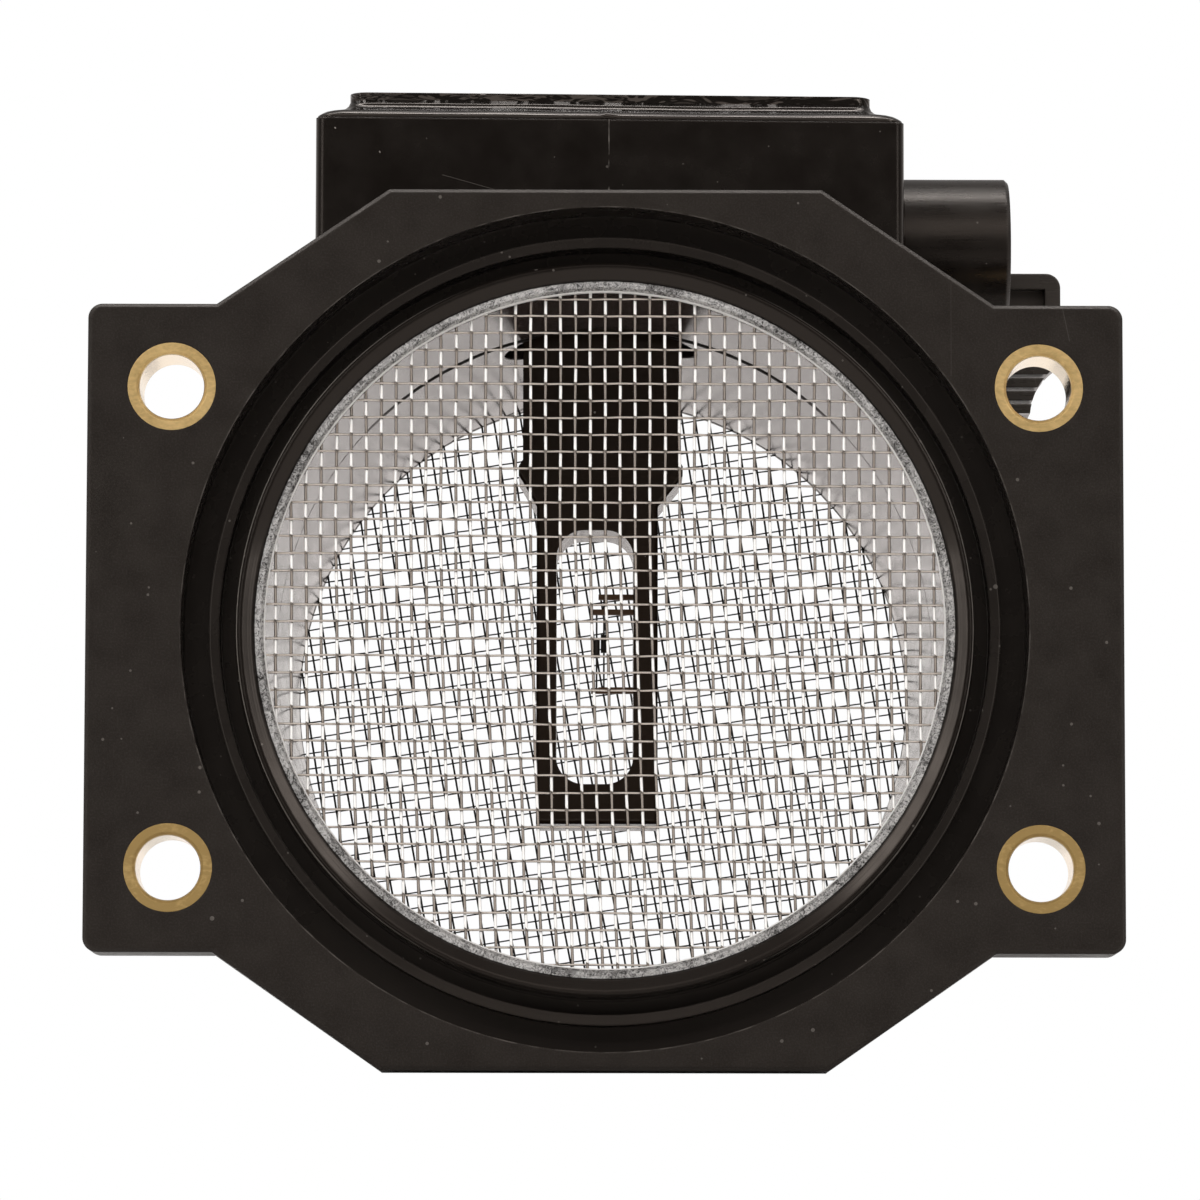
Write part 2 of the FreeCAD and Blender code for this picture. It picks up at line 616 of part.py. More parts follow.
def substrate():
    return with_pin_window(box(BOARD_LEFT, BOARD_RIGHT, BOARD_FRONT, BOARD_BACK, SUBSTRATE_Z, BOARD_TOP))


def board_parts():
    """Chips on the board: name, centre x and y, size along x, y and z."""
    return {"power_transistor": (BOARD_LEFT + 9.3, BOARD_FRONT + 7.8, 8.0, 6.5, 2.2),
            "control_chip": (BOARD_LEFT + 9.8, BOARD_BACK - 15.8, 9.0, 7.0, 1.6),
            "capacitor_front": (BOARD_RIGHT - 17.7, BOARD_FRONT + 3.8, 3.2, 1.6, 1.2),
            "capacitor_back": (BOARD_RIGHT - 11.7, BOARD_BACK - 5.8, 3.2, 1.6, 1.2),
            "trim_resistor": (BOARD_LEFT + 20.3, BOARD_FRONT + 15.8, 3.0, 6.0, 0.6),
            "sense_resistor": (BOARD_LEFT + 18.3, BOARD_BACK - 4.8, 6.0, 3.0, 0.6)}


def board_part(name):
    x, y, length, width, height = board_parts()[name]
    return box(x - length / 2, x + length / 2, y - width / 2, y + width / 2, BOARD_TOP, BOARD_TOP + height)


def terminal(number):
    """A flat blade from the shelf in the box through the wall into the socket."""
    y = SHROUD_Y + (number - (TERMINAL_COUNT - 1) / 2) * TERMINAL_PITCH
    blade = box(BOX_RIGHT - BOX_WALL - TERMINAL_PAD, BOX_RIGHT + TERMINAL_REACH,
                y - TERMINAL_WIDTH / 2, y + TERMINAL_WIDTH / 2,
                SHROUD_Z - TERMINAL_THICK / 2, SHROUD_Z + TERMINAL_THICK / 2)
    tip = [edge for edge in edges_along(blade, ALONG_Y) if edge.CenterOfMass.x > BOX_RIGHT]
    return blade.makeChamfer(TERMINAL_THICK / 3, tip)


def arch(start, start_z, end, end_z):
    """The side view of a bent strip: two feet, two legs and a flat back."""
    back = max(start_z, end_z) + JUMPER_ARCH
    way = 1 if end > start else -1
    foot = JUMPER_FOOT * way
    knee = foot + JUMPER_LEAN * way
    thick = JUMPER_THICK
    half = thick / 2 * way
    lower = [(start, start_z), (start + foot, start_z), (start + knee, back - thick),
             (end - knee, back - thick), (end - foot, end_z), (end, end_z)]
    upper = [(end, end_z + thick), (end - foot + half, end_z + thick), (end - knee + half, back),
             (start + knee - half, back), (start + foot - half, start_z + thick),
             (start, start_z + thick)]
    return lower + upper


def terminal_jumper(number):
    """A strip from a terminal's pad down the box to the edge of the board."""
    y = SHROUD_Y + (number - (TERMINAL_COUNT - 1) / 2) * TERMINAL_PITCH
    pad = BOX_RIGHT - BOX_WALL - TERMINAL_PAD + JUMPER_FOOT + JUMPER_EDGE / 2
    board = BOARD_RIGHT - JUMPER_EDGE - JUMPER_FOOT
    points = arch(pad, SHROUD_Z + TERMINAL_THICK / 2, board, BOARD_TOP)
    return front_profile(points, y - JUMPER_WIDTH / 2, y + JUMPER_WIDTH / 2)


def pin_jumper(name):
    """A strip from the top of a support pin over the window's edge to the board."""
    y, z, tip, heel = pin_names()[name]
    way = -1 if y < PIN_MID_Y else 1
    edge = PIN_MID_Y + way * (PLATE_WINDOW_Y / 2 + JUMPER_EDGE + JUMPER_FOOT)
    start = y - way * PIN_THICK / 2
    points = arch(start, PIN_TOP, edge, BOARD_TOP)
    face = polygon_face([(heel - JUMPER_WIDTH / 2, along, high) for along, high in points])
    return face.extrude(Vector(JUMPER_WIDTH, 0, 0))


# Cover and sealant

def level_cover():
    floor = RIM_Z + BEAD_THICK
    return rounded_box(COVER_INSET_X - BOX_LEFT, BOX_RIGHT - COVER_INSET_X,
                       BOX_FRONT + COVER_INSET_Y, BOX_BACK - COVER_INSET_Y,
                       floor, floor + COVER_THICK, COVER_ROUND)


def cover_plate():
    return sloped(level_cover())


def sealant_bead():
    """The bead between rim and cover, which climbs the cover's edge in a hollow curve."""
    low = box_outline(BEAD_EDGE, BEAD_EDGE, BOX_ROUND, RIM_Z)
    waist = box_outline(COVER_INSET_X * BEAD_WAIST_IN, COVER_INSET_Y * BEAD_WAIST_IN, BOX_ROUND,
                        RIM_Z + BEAD_THICK * BEAD_WAIST_UP)
    high = box_outline(COVER_INSET_X - BEAD_SHOULDER, COVER_INSET_Y - BEAD_SHOULDER,
                       COVER_ROUND, RIM_Z + BEAD_THICK + BEAD_CLIMB)
    bead = Part.makeLoft([low, waist, high], True, True)
    inset = BOX_WALL - BEAD_SHOULDER
    inside = box(inset - BOX_LEFT, BOX_RIGHT - inset, BOX_FRONT + inset, BOX_BACK - inset,
                 RIM_Z - PAST, RIM_Z + 2 * BEAD_THICK)
    return sloped(bead.cut(inside).cut(level_cover()))


def pieces():
    """Every piece of the sensor by its name."""
    made = {"flow_body": flow_body()}
    for name, (x, z) in bush_centres().items():
        made[name] = bush(x, z)
    made["inlet_screen"] = screen(False)
    made["inlet_screen_ring"] = screen_ring(False)
    made["outlet_screen"] = screen(True)
    made["outlet_screen_ring"] = screen_ring(True)
    made["sensor_bar"] = sensor_bar()
    made["bar_seal"] = bar_seal()
    for name in pin_names():
        made[name] = support_pin(name)
        made[name.replace("pin", "jumper")] = pin_jumper(name)
    made["hot_element"] = element(HOT_PIN_Y, HOT_PIN_LOW_Z, HOT_PIN_HIGH_Z, HOT_ELEMENT_Z, HOT_TIP_X)
    made["cold_element"] = element(COLD_PIN_Y, COLD_PIN_LOW_Z, COLD_PIN_HIGH_Z, COLD_ELEMENT_Z, COLD_TIP_X)
    made["base_plate"] = base_plate()
    made["circuit_board"] = substrate()
    for name in board_parts():
        made[name] = board_part(name)
    for number in range(TERMINAL_COUNT):
        made["terminal_%d" % (number + 1)] = terminal(number)
        made["terminal_jumper_%d" % (number + 1)] = terminal_jumper(number)
    made["cover_plate"] = cover_plate()
    made["sealant_bead"] = sealant_bead()
    return made


def main():
    os.makedirs("parts", exist_ok=True)
    for name, shape in pieces().items():
        if len(shape.Solids) != 1 or not shape.isValid():
            raise RuntimeError("%s has %d solids, valid: %s" % (name, len(shape.Solids), shape.isValid()))
        shape.Solids[0].exportStep("parts/%s.step" % name)
        print("%-20s %9.1f mm3" % (name, shape.Volume))


main()
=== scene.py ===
# %% [markdown]
# # A hot-wire mass airflow sensor
# The sensor is one black moulding: a flow tube with a four-hole flange, an electronics box on
# top and a connector at the side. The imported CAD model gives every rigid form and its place.
# This script adds what CAD is bad at: woven wire, poured sealant and finishes.

import math

import bmesh
import bpy
from mathutils import Matrix, Vector, noise


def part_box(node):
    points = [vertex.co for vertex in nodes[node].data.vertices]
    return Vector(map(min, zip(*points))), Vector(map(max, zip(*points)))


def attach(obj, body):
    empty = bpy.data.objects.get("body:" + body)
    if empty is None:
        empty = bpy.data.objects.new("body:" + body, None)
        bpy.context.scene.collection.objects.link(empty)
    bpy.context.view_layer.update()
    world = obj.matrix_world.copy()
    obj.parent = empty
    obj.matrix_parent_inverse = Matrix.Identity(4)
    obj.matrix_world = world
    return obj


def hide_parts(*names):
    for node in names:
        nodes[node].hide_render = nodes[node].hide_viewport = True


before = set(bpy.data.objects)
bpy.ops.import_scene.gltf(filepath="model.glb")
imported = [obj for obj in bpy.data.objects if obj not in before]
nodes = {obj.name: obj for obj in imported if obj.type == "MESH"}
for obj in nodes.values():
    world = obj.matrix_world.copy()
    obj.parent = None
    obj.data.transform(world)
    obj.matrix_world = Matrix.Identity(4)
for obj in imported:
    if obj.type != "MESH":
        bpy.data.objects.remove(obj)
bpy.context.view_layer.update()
MM = 0.001
BODY = "root"
ORIGIN = (0, 0, 0)
print("loaded", len(nodes), "nodes")

# %% [markdown]
# ## The camera
# A long lens far away keeps the flange's outline almost square, as in a catalogue picture.
# The camera stands low and looks slightly up, so the mouth of the tube shows its upper wall.

# %% Camera
LENS = 203.5
CAMERA_PLACE = Vector((-1.76, -698.0, -69.0)) * MM
CAMERA_TARGET = Vector((-0.51, 0.0, 2.8)) * MM
CAMERA_ROLL = math.radians(0.115)

camera = bpy.data.objects.new("camera", bpy.data.cameras.new("camera"))
camera.data.lens = LENS
camera.location = CAMERA_PLACE
aim = (CAMERA_TARGET - CAMERA_PLACE).to_track_quat("-Z", "Y").to_matrix()
camera.rotation_euler = (aim @ Matrix.Rotation(CAMERA_ROLL, 3, "Z")).to_euler()
bpy.context.scene.collection.objects.link(camera)
bpy.context.scene.camera = camera
print("camera", [round(value, 3) for value in camera.location])

# %% [markdown]
# ## Helpers for shader nodes
# Floor, world and finishes are all node trees. Nodes could be made and linked one by one, but a
# tree reads more easily when each line says what it works out. The first helper gives inputs
# their values or links, the second makes a node, and the others are small sums and blends.

# %% Nodes and sums
def feed(tree, inputs, values):
    """Gives each named input a link from a socket, or a plain number, vector or colour."""
    for key, value in values.items():
        socket = inputs[key]
        if isinstance(value, bpy.types.NodeSocket):
            tree.links.new(value, socket)
        elif socket.type == "RGBA":
            socket.default_value = (*value, 1)
        else:
            socket.default_value = value


def add(tree, kind, inputs=None, **settings):
    """A new node with its settings and what feeds its inputs."""
    made = tree.nodes.new(kind)
    for key, value in settings.items():
        setattr(made, key, value)
    feed(tree, made.inputs, inputs or {})
    return made


def calculate(tree, operation, *values, clamp=False):
    """A Math node over sockets or numbers. It returns its output."""
    inputs = dict(enumerate(values))
    made = add(tree, "ShaderNodeMath", inputs, operation=operation, use_clamp=clamp)
    return made.outputs["Value"]


def times(tree, total, *others):
    """The product of sockets and numbers."""
    for value in others:
        total = calculate(tree, "MULTIPLY", total, value)
    return total


def largest(tree, total, *others):
    """The largest of sockets and numbers."""
    for value in others:
        total = calculate(tree, "MAXIMUM", total, value)
    return total


def hypotenuse(tree, first, second):
    """The length of the long side over two sides at a right angle."""
    square = calculate(tree, "ADD", times(tree, first, first), times(tree, second, second))
    return calculate(tree, "SQRT", square)


def split(tree, vector):
    """The X, Y and Z of a vector."""
    return add(tree, "ShaderNodeSeparateXYZ", {"Vector": vector}).outputs


# %% Masks, blends and materials
def step_mask(tree, value, low, high):
    """A mask that goes from 0 at low to 1 at high."""
    inputs = {"Value": value, "From Min": low, "From Max": high}
    return add(tree, "ShaderNodeMapRange", inputs).outputs["Result"]


def blend(tree, mask, first, second):
    """A colour between two colours or sockets, by a mask."""
    inputs = {"Factor": mask, 6: first, 7: second}
    return add(tree, "ShaderNodeMix", inputs, data_type="RGBA").outputs[2]


def level(tree, mask, first, second):
    """A number between two numbers or sockets, by a mask."""
    inputs = {"Factor": mask, 2: first, 3: second}
    return add(tree, "ShaderNodeMix", inputs, data_type="FLOAT").outputs[0]


def surface_normal(tree):
    """The X, Y and Z of the way a surface looks, in the frame of the part."""
    return split(tree, add(tree, "ShaderNodeTexCoord").outputs["Normal"])


def new_material(name, colour, roughness, metallic=0.0):
    """A Principled material. It returns the material, its tree, its shader and its coordinates."""
    material = bpy.data.materials.new(name)
    material.use_nodes = True
    tree = material.node_tree
    shader = tree.nodes["Principled BSDF"]
    plain = {"Base Color": colour, "Roughness": roughness, "Metallic": metallic}
    feed(tree, shader.inputs, plain)
    return material, tree, shader, add(tree, "ShaderNodeTexCoord").outputs["Object"]


# %% [markdown]
# ## The floor
# The part lies on the flange's lower edge and the rim of its outlet, so the surface under it
# leans a little in the part's own frame. It is plain white to the camera and pale to the light.
# Behind the part it is white to mirror-like surfaces too, so the bore shows the white backdrop.

# %% Floor
WHITE = (1.0, 1.0, 1.0)
FLOOR_SIZE = 6.0
FLOOR_GAP = 0.3 * MM
FLOOR_PALE = (0.62, 0.61, 0.6)
FLOOR_ROUGHNESS = 0.9
FLANGE_BACK = 8.0 * MM
OUTLET_WALL = 1.25 * MM
BACKDROP_START = 150.0 * MM
BACKDROP_MIRRORED = (1.0, 0.94, 0.91)

body_low, body_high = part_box("flow_body")
spigot_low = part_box("outlet_screen_ring")[0][2] - OUTLET_WALL
FLOOR_SLOPE = math.atan2(spigot_low - body_low[2], body_high[1] - FLANGE_BACK)


def seen_white(tree, behind):
    """1 where a ray finds plain white: camera rays anywhere, mirrored and passing rays behind."""
    ray = add(tree, "ShaderNodeLightPath").outputs
    bounced = largest(tree, ray["Is Glossy Ray"], ray["Is Transmission Ray"])
    return largest(tree, ray["Is Camera Ray"], times(tree, bounced, behind))


def make_floor_material():
    """Pale where light falls on it. It glows white where a ray should find plain white."""
    material, tree, shader, place = new_material("pale_floor", FLOOR_PALE, FLOOR_ROUGHNESS)
    behind = calculate(tree, "GREATER_THAN", split(tree, place)["Y"], BACKDROP_START)
    camera_ray = add(tree, "ShaderNodeLightPath").outputs["Is Camera Ray"]
    tone = blend(tree, camera_ray, BACKDROP_MIRRORED, WHITE)
    white = add(tree, "ShaderNodeEmission", {"Color": tone, "Strength": 1.0})
    inputs = {"Fac": seen_white(tree, behind), 1: shader.outputs["BSDF"], 2: white.outputs[0]}
    choice = add(tree, "ShaderNodeMixShader", inputs)
    feed(tree, tree.nodes["Material Output"].inputs, {"Surface": choice.outputs["Shader"]})
    return material


def make_floor():
    """A large square that touches the flange's lower edge and the outlet."""
    mesh = bmesh.new()
    bmesh.ops.create_grid(mesh, x_segments=2, y_segments=2, size=FLOOR_SIZE / 2)
    tilt = Matrix.Rotation(FLOOR_SLOPE, 3, "X")
    bmesh.ops.rotate(mesh, verts=mesh.verts, cent=ORIGIN, matrix=tilt)
    bmesh.ops.translate(mesh, verts=mesh.verts, vec=(0, FLANGE_BACK, body_low[2] - FLOOR_GAP))
    data = bpy.data.meshes.new("floor")
    mesh.to_mesh(data)
    mesh.free()
    data.materials.append(make_floor_material())
    floor = bpy.data.objects.new("floor", data)
    bpy.context.scene.collection.objects.link(floor)


make_floor()
print("floor leans", round(math.degrees(FLOOR_SLOPE), 2), "degrees")

# %% [markdown]
# ## The light
# Black plastic shows nothing but what it mirrors, so the surroundings matter more than the
# lamps. The world is white behind the part for the camera. What the surfaces see is a dim room
# with a soft bright band in front, a pale wall behind, a softbox and a bright strip overhead,
# and a tall narrow lamp on each side. Bands are pairs of a height from 0 to 1 and a strength.

# %% World
ROOM_BANDS = [(0.0, 0.16), (0.55, 0.12), (0.655, 0.12), (0.69, 1.42), (0.84, 1.42),
              (0.89, 0.3), (1.0, 0.25)]
WALL_BANDS = [(0.0, 0.3), (0.42, 1.0), (0.56, 1.0), (0.66, 0.4), (1.0, 0.2)]
WALL_FADE = (-0.2, 0.5)
WARM_GREY = (1.0, 0.955, 0.925)


def ramp(tree, height, bands):
    """A colour ramp of slightly warm grey over a height from 0 to 1."""
    made = add(tree, "ShaderNodeValToRGB", {"Fac": height})
    elements = made.color_ramp.elements
    while len(elements) < len(bands):
        elements.new(0.5)
    for element, (place, strength) in zip(elements, bands):
        element.position = place
        element.color = (*(strength * part for part in WARM_GREY), 1)
    return made.outputs["Color"]


def make_world():
    """White for the camera, and a banded room and wall for everything else."""
    world = bpy.data.worlds.new("studio")
    world.use_nodes = True
    tree = world.node_tree
    tree.nodes.clear()
    direction = split(tree, add(tree, "ShaderNodeTexCoord").outputs["Generated"])
    height = step_mask(tree, direction["Z"], -1.0, 1.0)
    behind = step_mask(tree, direction["Y"], *WALL_FADE)
    room = ramp(tree, height, ROOM_BANDS)
    wall = ramp(tree, height, WALL_BANDS)
    seen = add(tree, "ShaderNodeBackground", {"Color": blend(tree, behind, room, wall)})
    white = add(tree, "ShaderNodeBackground", {"Color": WHITE})
    camera_ray = add(tree, "ShaderNodeLightPath").outputs["Is Camera Ray"]
    inputs = {"Fac": camera_ray, 1: seen.outputs["Background"], 2: white.outputs["Background"]}
    choice = add(tree, "ShaderNodeMixShader", inputs)
    add(tree, "ShaderNodeOutputWorld", {"Surface": choice.outputs["Shader"]})
    bpy.context.scene.world = world


make_world()
bpy.context.scene.view_settings.view_transform = "Standard"
print("world", bpy.context.scene.world.name)

# %% Lamps
LAMPS = {
    "softbox_above": {"place": (0.0, 0.09, 0.6), "size": (0.9, 0.29), "radiance": 1.7},
    "strip_above": {"place": (0.0, 0.03, 0.59), "size": (0.9, 0.05), "radiance": 12.0},
    "softbox_left": {"place": (-0.66, -0.5, 0.3), "size": (0.14, 0.8), "radiance": 3.2},
    "softbox_right": {"place": (0.66, -0.5, 0.3), "size": (0.12, 0.8), "radiance": 2.8},
    "fill_front": {"place": (-0.35, -1.1, 0.75), "size": (1.0, 1.0), "radiance": 1.8,
                   "mirrored": False},
}


def make_lamp(name, place, size, radiance, mirrored=True):
    """A rectangular lamp aimed at the part. Its power follows from its size and radiance."""
    data = bpy.data.lights.new(name, "AREA")
    data.shape = "RECTANGLE"
    data.size, data.size_y = size
    data.energy = radiance * math.pi * size[0] * size[1]
    lamp = bpy.data.objects.new(name, data)
    lamp.location = place
    lamp.rotation_euler = (-Vector(place)).to_track_quat("-Z", "Y").to_euler()
    lamp.visible_glossy = mirrored
    bpy.context.scene.collection.objects.link(lamp)


for name, values in LAMPS.items():
    make_lamp(name, **values)
print("lamps", list(LAMPS))

# %% [markdown]
# ## Shader groups
# Grain, dust, scratches and turning marks come back on many surfaces. Each is a node group
# that puts out only a height, a mask or a distance, and each material places it with its own
# values. A scratch is worked out from its two ends, so it keeps its place on the part.

# %% Making and placing groups
def new_group(name, inputs, outputs):
    """An empty group with a vector and float inputs, and float outputs."""
    group = bpy.data.node_groups.new(name, "ShaderNodeTree")
    sockets = group.interface
    sockets.new_socket("Vector", in_out="INPUT", socket_type="NodeSocketVector")
    for socket, value in inputs.items():
        made = sockets.new_socket(socket, in_out="INPUT", socket_type="NodeSocketFloat")
        made.default_value = value
    for socket in outputs:
        sockets.new_socket(socket, in_out="OUTPUT", socket_type="NodeSocketFloat")
    return group, add(group, "NodeGroupInput").outputs, add(group, "NodeGroupOutput").inputs


def place_group(tree, group, vector, **values):
    """Places a group, fed with a vector and its own values. It returns the group's outputs."""
    return add(tree, "ShaderNodeGroup", {"Vector": vector, **values}, node_tree=group).outputs


def noise_field(tree, vector, scale, detail, roughness=0.5, distortion=0.0):
    """Noise over a vector: numbers that wander round a half."""
    inputs = {"Vector": vector, "Scale": scale, "Detail": detail, "Roughness": roughness,
              "Distortion": distortion}
    return add(tree, "ShaderNodeTexNoise", inputs).outputs["Fac"]


# %% Grain, specks, scratches and turning marks
CLOUD_SHARE = 0.05


def make_grain():
    """Fine moulded grain as a height, and clouds twenty times as broad as a tone."""
    group, into, out = new_group("moulded_grain", {"Scale": 4000.0}, ["Height", "Tone"])
    cloud_scale = times(group, into["Scale"], CLOUD_SHARE)
    feed(group, out, {
        "Height": noise_field(group, into["Vector"], into["Scale"], 3.0, 0.6),
        "Tone": noise_field(group, into["Vector"], cloud_scale, 4.0, 0.55),
    })
    return group


def make_specks():
    """Dust: small dots in a few cells of a Voronoi pattern."""
    inputs = {"Scale": 400.0, "Size": 0.1, "Share": 0.1}
    group, into, out = new_group("dust_specks", inputs, ["Mask"])
    pattern = {"Vector": into["Vector"], "Scale": into["Scale"], "Randomness": 1.0}
    cells = add(group, "ShaderNodeTexVoronoi", pattern).outputs
    draw = add(group, "ShaderNodeSeparateColor", {"Color": cells["Color"]}).outputs
    chosen = calculate(group, "LESS_THAN", draw[0], into["Share"])
    reach = times(group, into["Size"], draw[1])
    dot = calculate(group, "LESS_THAN", cells["Distance"], reach)
    feed(group, out, {"Mask": times(group, chosen, dot)})
    return group


def make_scratch():
    """One hairline on a face that looks forward: the points near a stretch from start to end."""
    inputs = {"Start X": 0.0, "Start Z": 0.0, "End X": 0.01, "End Z": 0.0, "Width": 0.0001}
    group, into, out = new_group("single_scratch", inputs, ["Mask"])
    point = split(group, into["Vector"])
    along_x = calculate(group, "SUBTRACT", into["End X"], into["Start X"])
    along_z = calculate(group, "SUBTRACT", into["End Z"], into["Start Z"])
    from_x = calculate(group, "SUBTRACT", point["X"], into["Start X"])
    from_z = calculate(group, "SUBTRACT", point["Z"], into["Start Z"])
    length = calculate(group, "ADD", times(group, along_x, along_x), times(group, along_z, along_z))
    reach = calculate(group, "ADD", times(group, from_x, along_x), times(group, from_z, along_z))
    share = calculate(group, "DIVIDE", reach, length, clamp=True)
    off_x = calculate(group, "SUBTRACT", from_x, times(group, share, along_x))
    off_z = calculate(group, "SUBTRACT", from_z, times(group, share, along_z))
    near = calculate(group, "LESS_THAN", hypotenuse(group, off_x, off_z), into["Width"])
    feed(group, out, {"Mask": near})
    return group


def make_turning():
    """Rings round the bore: noise read along the distance from its axis."""
    group, into, out = new_group("turning_marks", {"Scale": 900.0}, ["Height", "Radius"])
    point = split(group, into["Vector"])
    radius = hypotenuse(group, point["X"], point["Z"])
    inputs = {"W": radius, "Scale": into["Scale"], "Detail": 3.0, "Roughness": 0.7}
    rings = add(group, "ShaderNodeTexNoise", inputs, noise_dimensions="1D")
    feed(group, out, {"Height": rings.outputs["Fac"], "Radius": radius})
    return group


GRAIN = make_grain()
SPECKS = make_specks()
SCRATCH = make_scratch()
TURNING = make_turning()
print("groups", [group.name for group in (GRAIN, SPECKS, SCRATCH, TURNING)])

# %% What all finishes share
WARM_TINT = (1.0, 0.86, 0.76)


def warm(shader, mirror=0.5):
    """The black resin mirrors a little warmer than the light that falls on it."""
    shader.inputs["Specular Tint"].default_value = (*WARM_TINT, 1)
    shader.inputs["Specular IOR Level"].default_value = mirror


def bump(tree, shader, height, distance, rounding=0.0):
    """Feeds a height into the shader's normal, with the edges rounded where a radius is given."""
    made = add(tree, "ShaderNodeBump", {"Distance": distance, "Height": height})
    if rounding:
        edges = add(tree, "ShaderNodeBevel", {"Radius": rounding})
        feed(tree, made.inputs, {"Normal": edges.outputs["Normal"]})
    feed(tree, shader.inputs, {"Normal": made.outputs["Normal"]})


def streaks(tree, place, turn, stretched, scale):
    """Noise drawn out into streaks."""
    inputs = {"Vector": place, "Rotation": turn, "Scale": stretched}
    drawn = add(tree, "ShaderNodeMapping", inputs).outputs["Vector"]
    return noise_field(tree, drawn, scale, 5.0, 0.62, 0.4)


def named(*starts):
    """The CAD nodes whose names start with one of these words."""
    return sorted(name for name in nodes if name.startswith(starts))


def dress(names, material):
    """Gives CAD nodes a material."""
    for name in names:
        slots = nodes[name].data.materials
        slots.clear()
        slots.append(material)


# %% [markdown]
# ## Where the finishes of the moulding lie
# One glass-filled moulding has several finishes. The flange's face is matt from the tool's
# grain, the ring zone was turned, the bore is polished by flow, the box is glossy, and the
# guard plate behind the connector's barrel is paler. Separate materials would meet in hard
# steps. Here they are one material whose masks come from where a point lies. Each edge below is
# an axis and two places on it in millimetres: where its mask is 0 and where it is 1.

# %% Edges of the finishes
EDGES = {
    "face": ("y", 0.5, 0.3),
    "early": ("y", 6.6, 6.4),
    "deep": ("y", 3.2, 3.3),
    "late": ("y", 13.5, 13.8),
    "front": ("y", 14.6, 14.3),
    "zone": ("radius", 44.0, 43.9),
    "lip": ("radius", 38.6, 38.5),
    "tube": ("radius", 36.7, 36.6),
    "high": ("z", 35.8, 36.0),
    "roof": ("z", 23.5, 29.0),
    "low": ("z", -30.0, -42.0),
    "barrel": ("x", 32.2, 32.3),
    "guard": ("x", 44.2, 44.3),
    "sides": ("aside", 14.0, 30.0),
}
LOOKS_AHEAD = (-0.4, -0.6)
SEAM_Y = 30.5 * MM
SEAM_HALF = 1.3 * MM
SEAM_FADE = 0.2 * MM
PARTING_X = 0.37 * MM
PARTING_HALF = 0.07 * MM
RIM_RADIUS = 43.94 * MM
RIM_HALF = 0.1 * MM
RIM_FADE = 0.06 * MM
# Painted highlights on the ridge crests and the lip: radius and half width in millimetres, and
# strength.
PAINTED_RIDGE_HIGHLIGHTS = [(40.93, 0.05, 0.1), (39.95, 0.06, 0.2), (38.15, 0.11, 0.5)]


def slab(tree, value, middle, half, fade):
    """A mask that is 1 within half a width of the middle."""
    aside = calculate(tree, "ABSOLUTE", calculate(tree, "SUBTRACT", value, middle))
    return step_mask(tree, aside, half, half - fade)


def body_masks(tree, place, radius):
    """Masks of the moulding's finishes and lines, and of the painted highlights on its ridge
    crests.
    """
    x, y, z = split(tree, place)
    axes = {"x": x, "y": y, "z": z, "radius": radius, "aside": calculate(tree, "ABSOLUTE", x)}
    edge = {name: step_mask(tree, axes[axis], zero * MM, one * MM)
            for name, (axis, zero, one) in EDGES.items()}
    masks = {
        "face": edge["face"],
        "zone": times(tree, edge["zone"], edge["early"]),
        "lip": times(tree, edge["lip"], edge["early"]),
        "bore": times(tree, edge["tube"], edge["deep"]),
        "box": times(tree, edge["high"], edge["late"]),
        "barrel": times(tree, edge["barrel"], edge["late"]),
        "guard": times(tree, edge["guard"], edge["late"]),
    }
    masks["low_zone"] = times(tree, masks["zone"], edge["low"])
    seam = slab(tree, y, SEAM_Y, SEAM_HALF, SEAM_FADE)
    masks["seam"] = times(tree, seam, masks["bore"], edge["roof"])
    parting = slab(tree, x, PARTING_X, PARTING_HALF, PARTING_HALF / 2)
    masks["line"] = times(tree, parting, edge["front"], masks["box"])
    ahead = times(tree, step_mask(tree, surface_normal(tree)["Y"], *LOOKS_AHEAD), edge["early"])
    masks["rim"] = times(tree, slab(tree, radius, RIM_RADIUS, RIM_HALF, RIM_FADE), ahead)
    # Painted highlights: pale lines on the crests, on faces that look forward and only towards the
    # left and right sides.
    ridges = [times(tree, slab(tree, radius, middle * MM, half * MM, half * MM), strength)
              for middle, half, strength in PAINTED_RIDGE_HIGHLIGHTS]
    masks["ridges"] = times(tree, largest(tree, *ridges), ahead, edge["sides"])
    return masks


print("the moulding has", len(EDGES), "edges and", len(PAINTED_RIDGE_HIGHLIGHTS), "worn ridges")

# %% [markdown]
# ## Colour of the moulding
# Black plastic is never quite black. Each zone has its own dark tone, and pale grain, dust and
# single scratches lie over it. The bore's pale mauve tone is a painted reflection, and the pale
# lines on the ridge crests are painted highlights. The scratches and specks sit where the real
# part has them. They are given by their ends and width in millimetres and by how strongly they
# show.

# %% Colour of the moulding
FACE_TONE = (0.0075, 0.0062, 0.0054)
DEEP_TONE = (0.0062, 0.0048, 0.004)
LINE_TONE = (0.11, 0.1, 0.09)
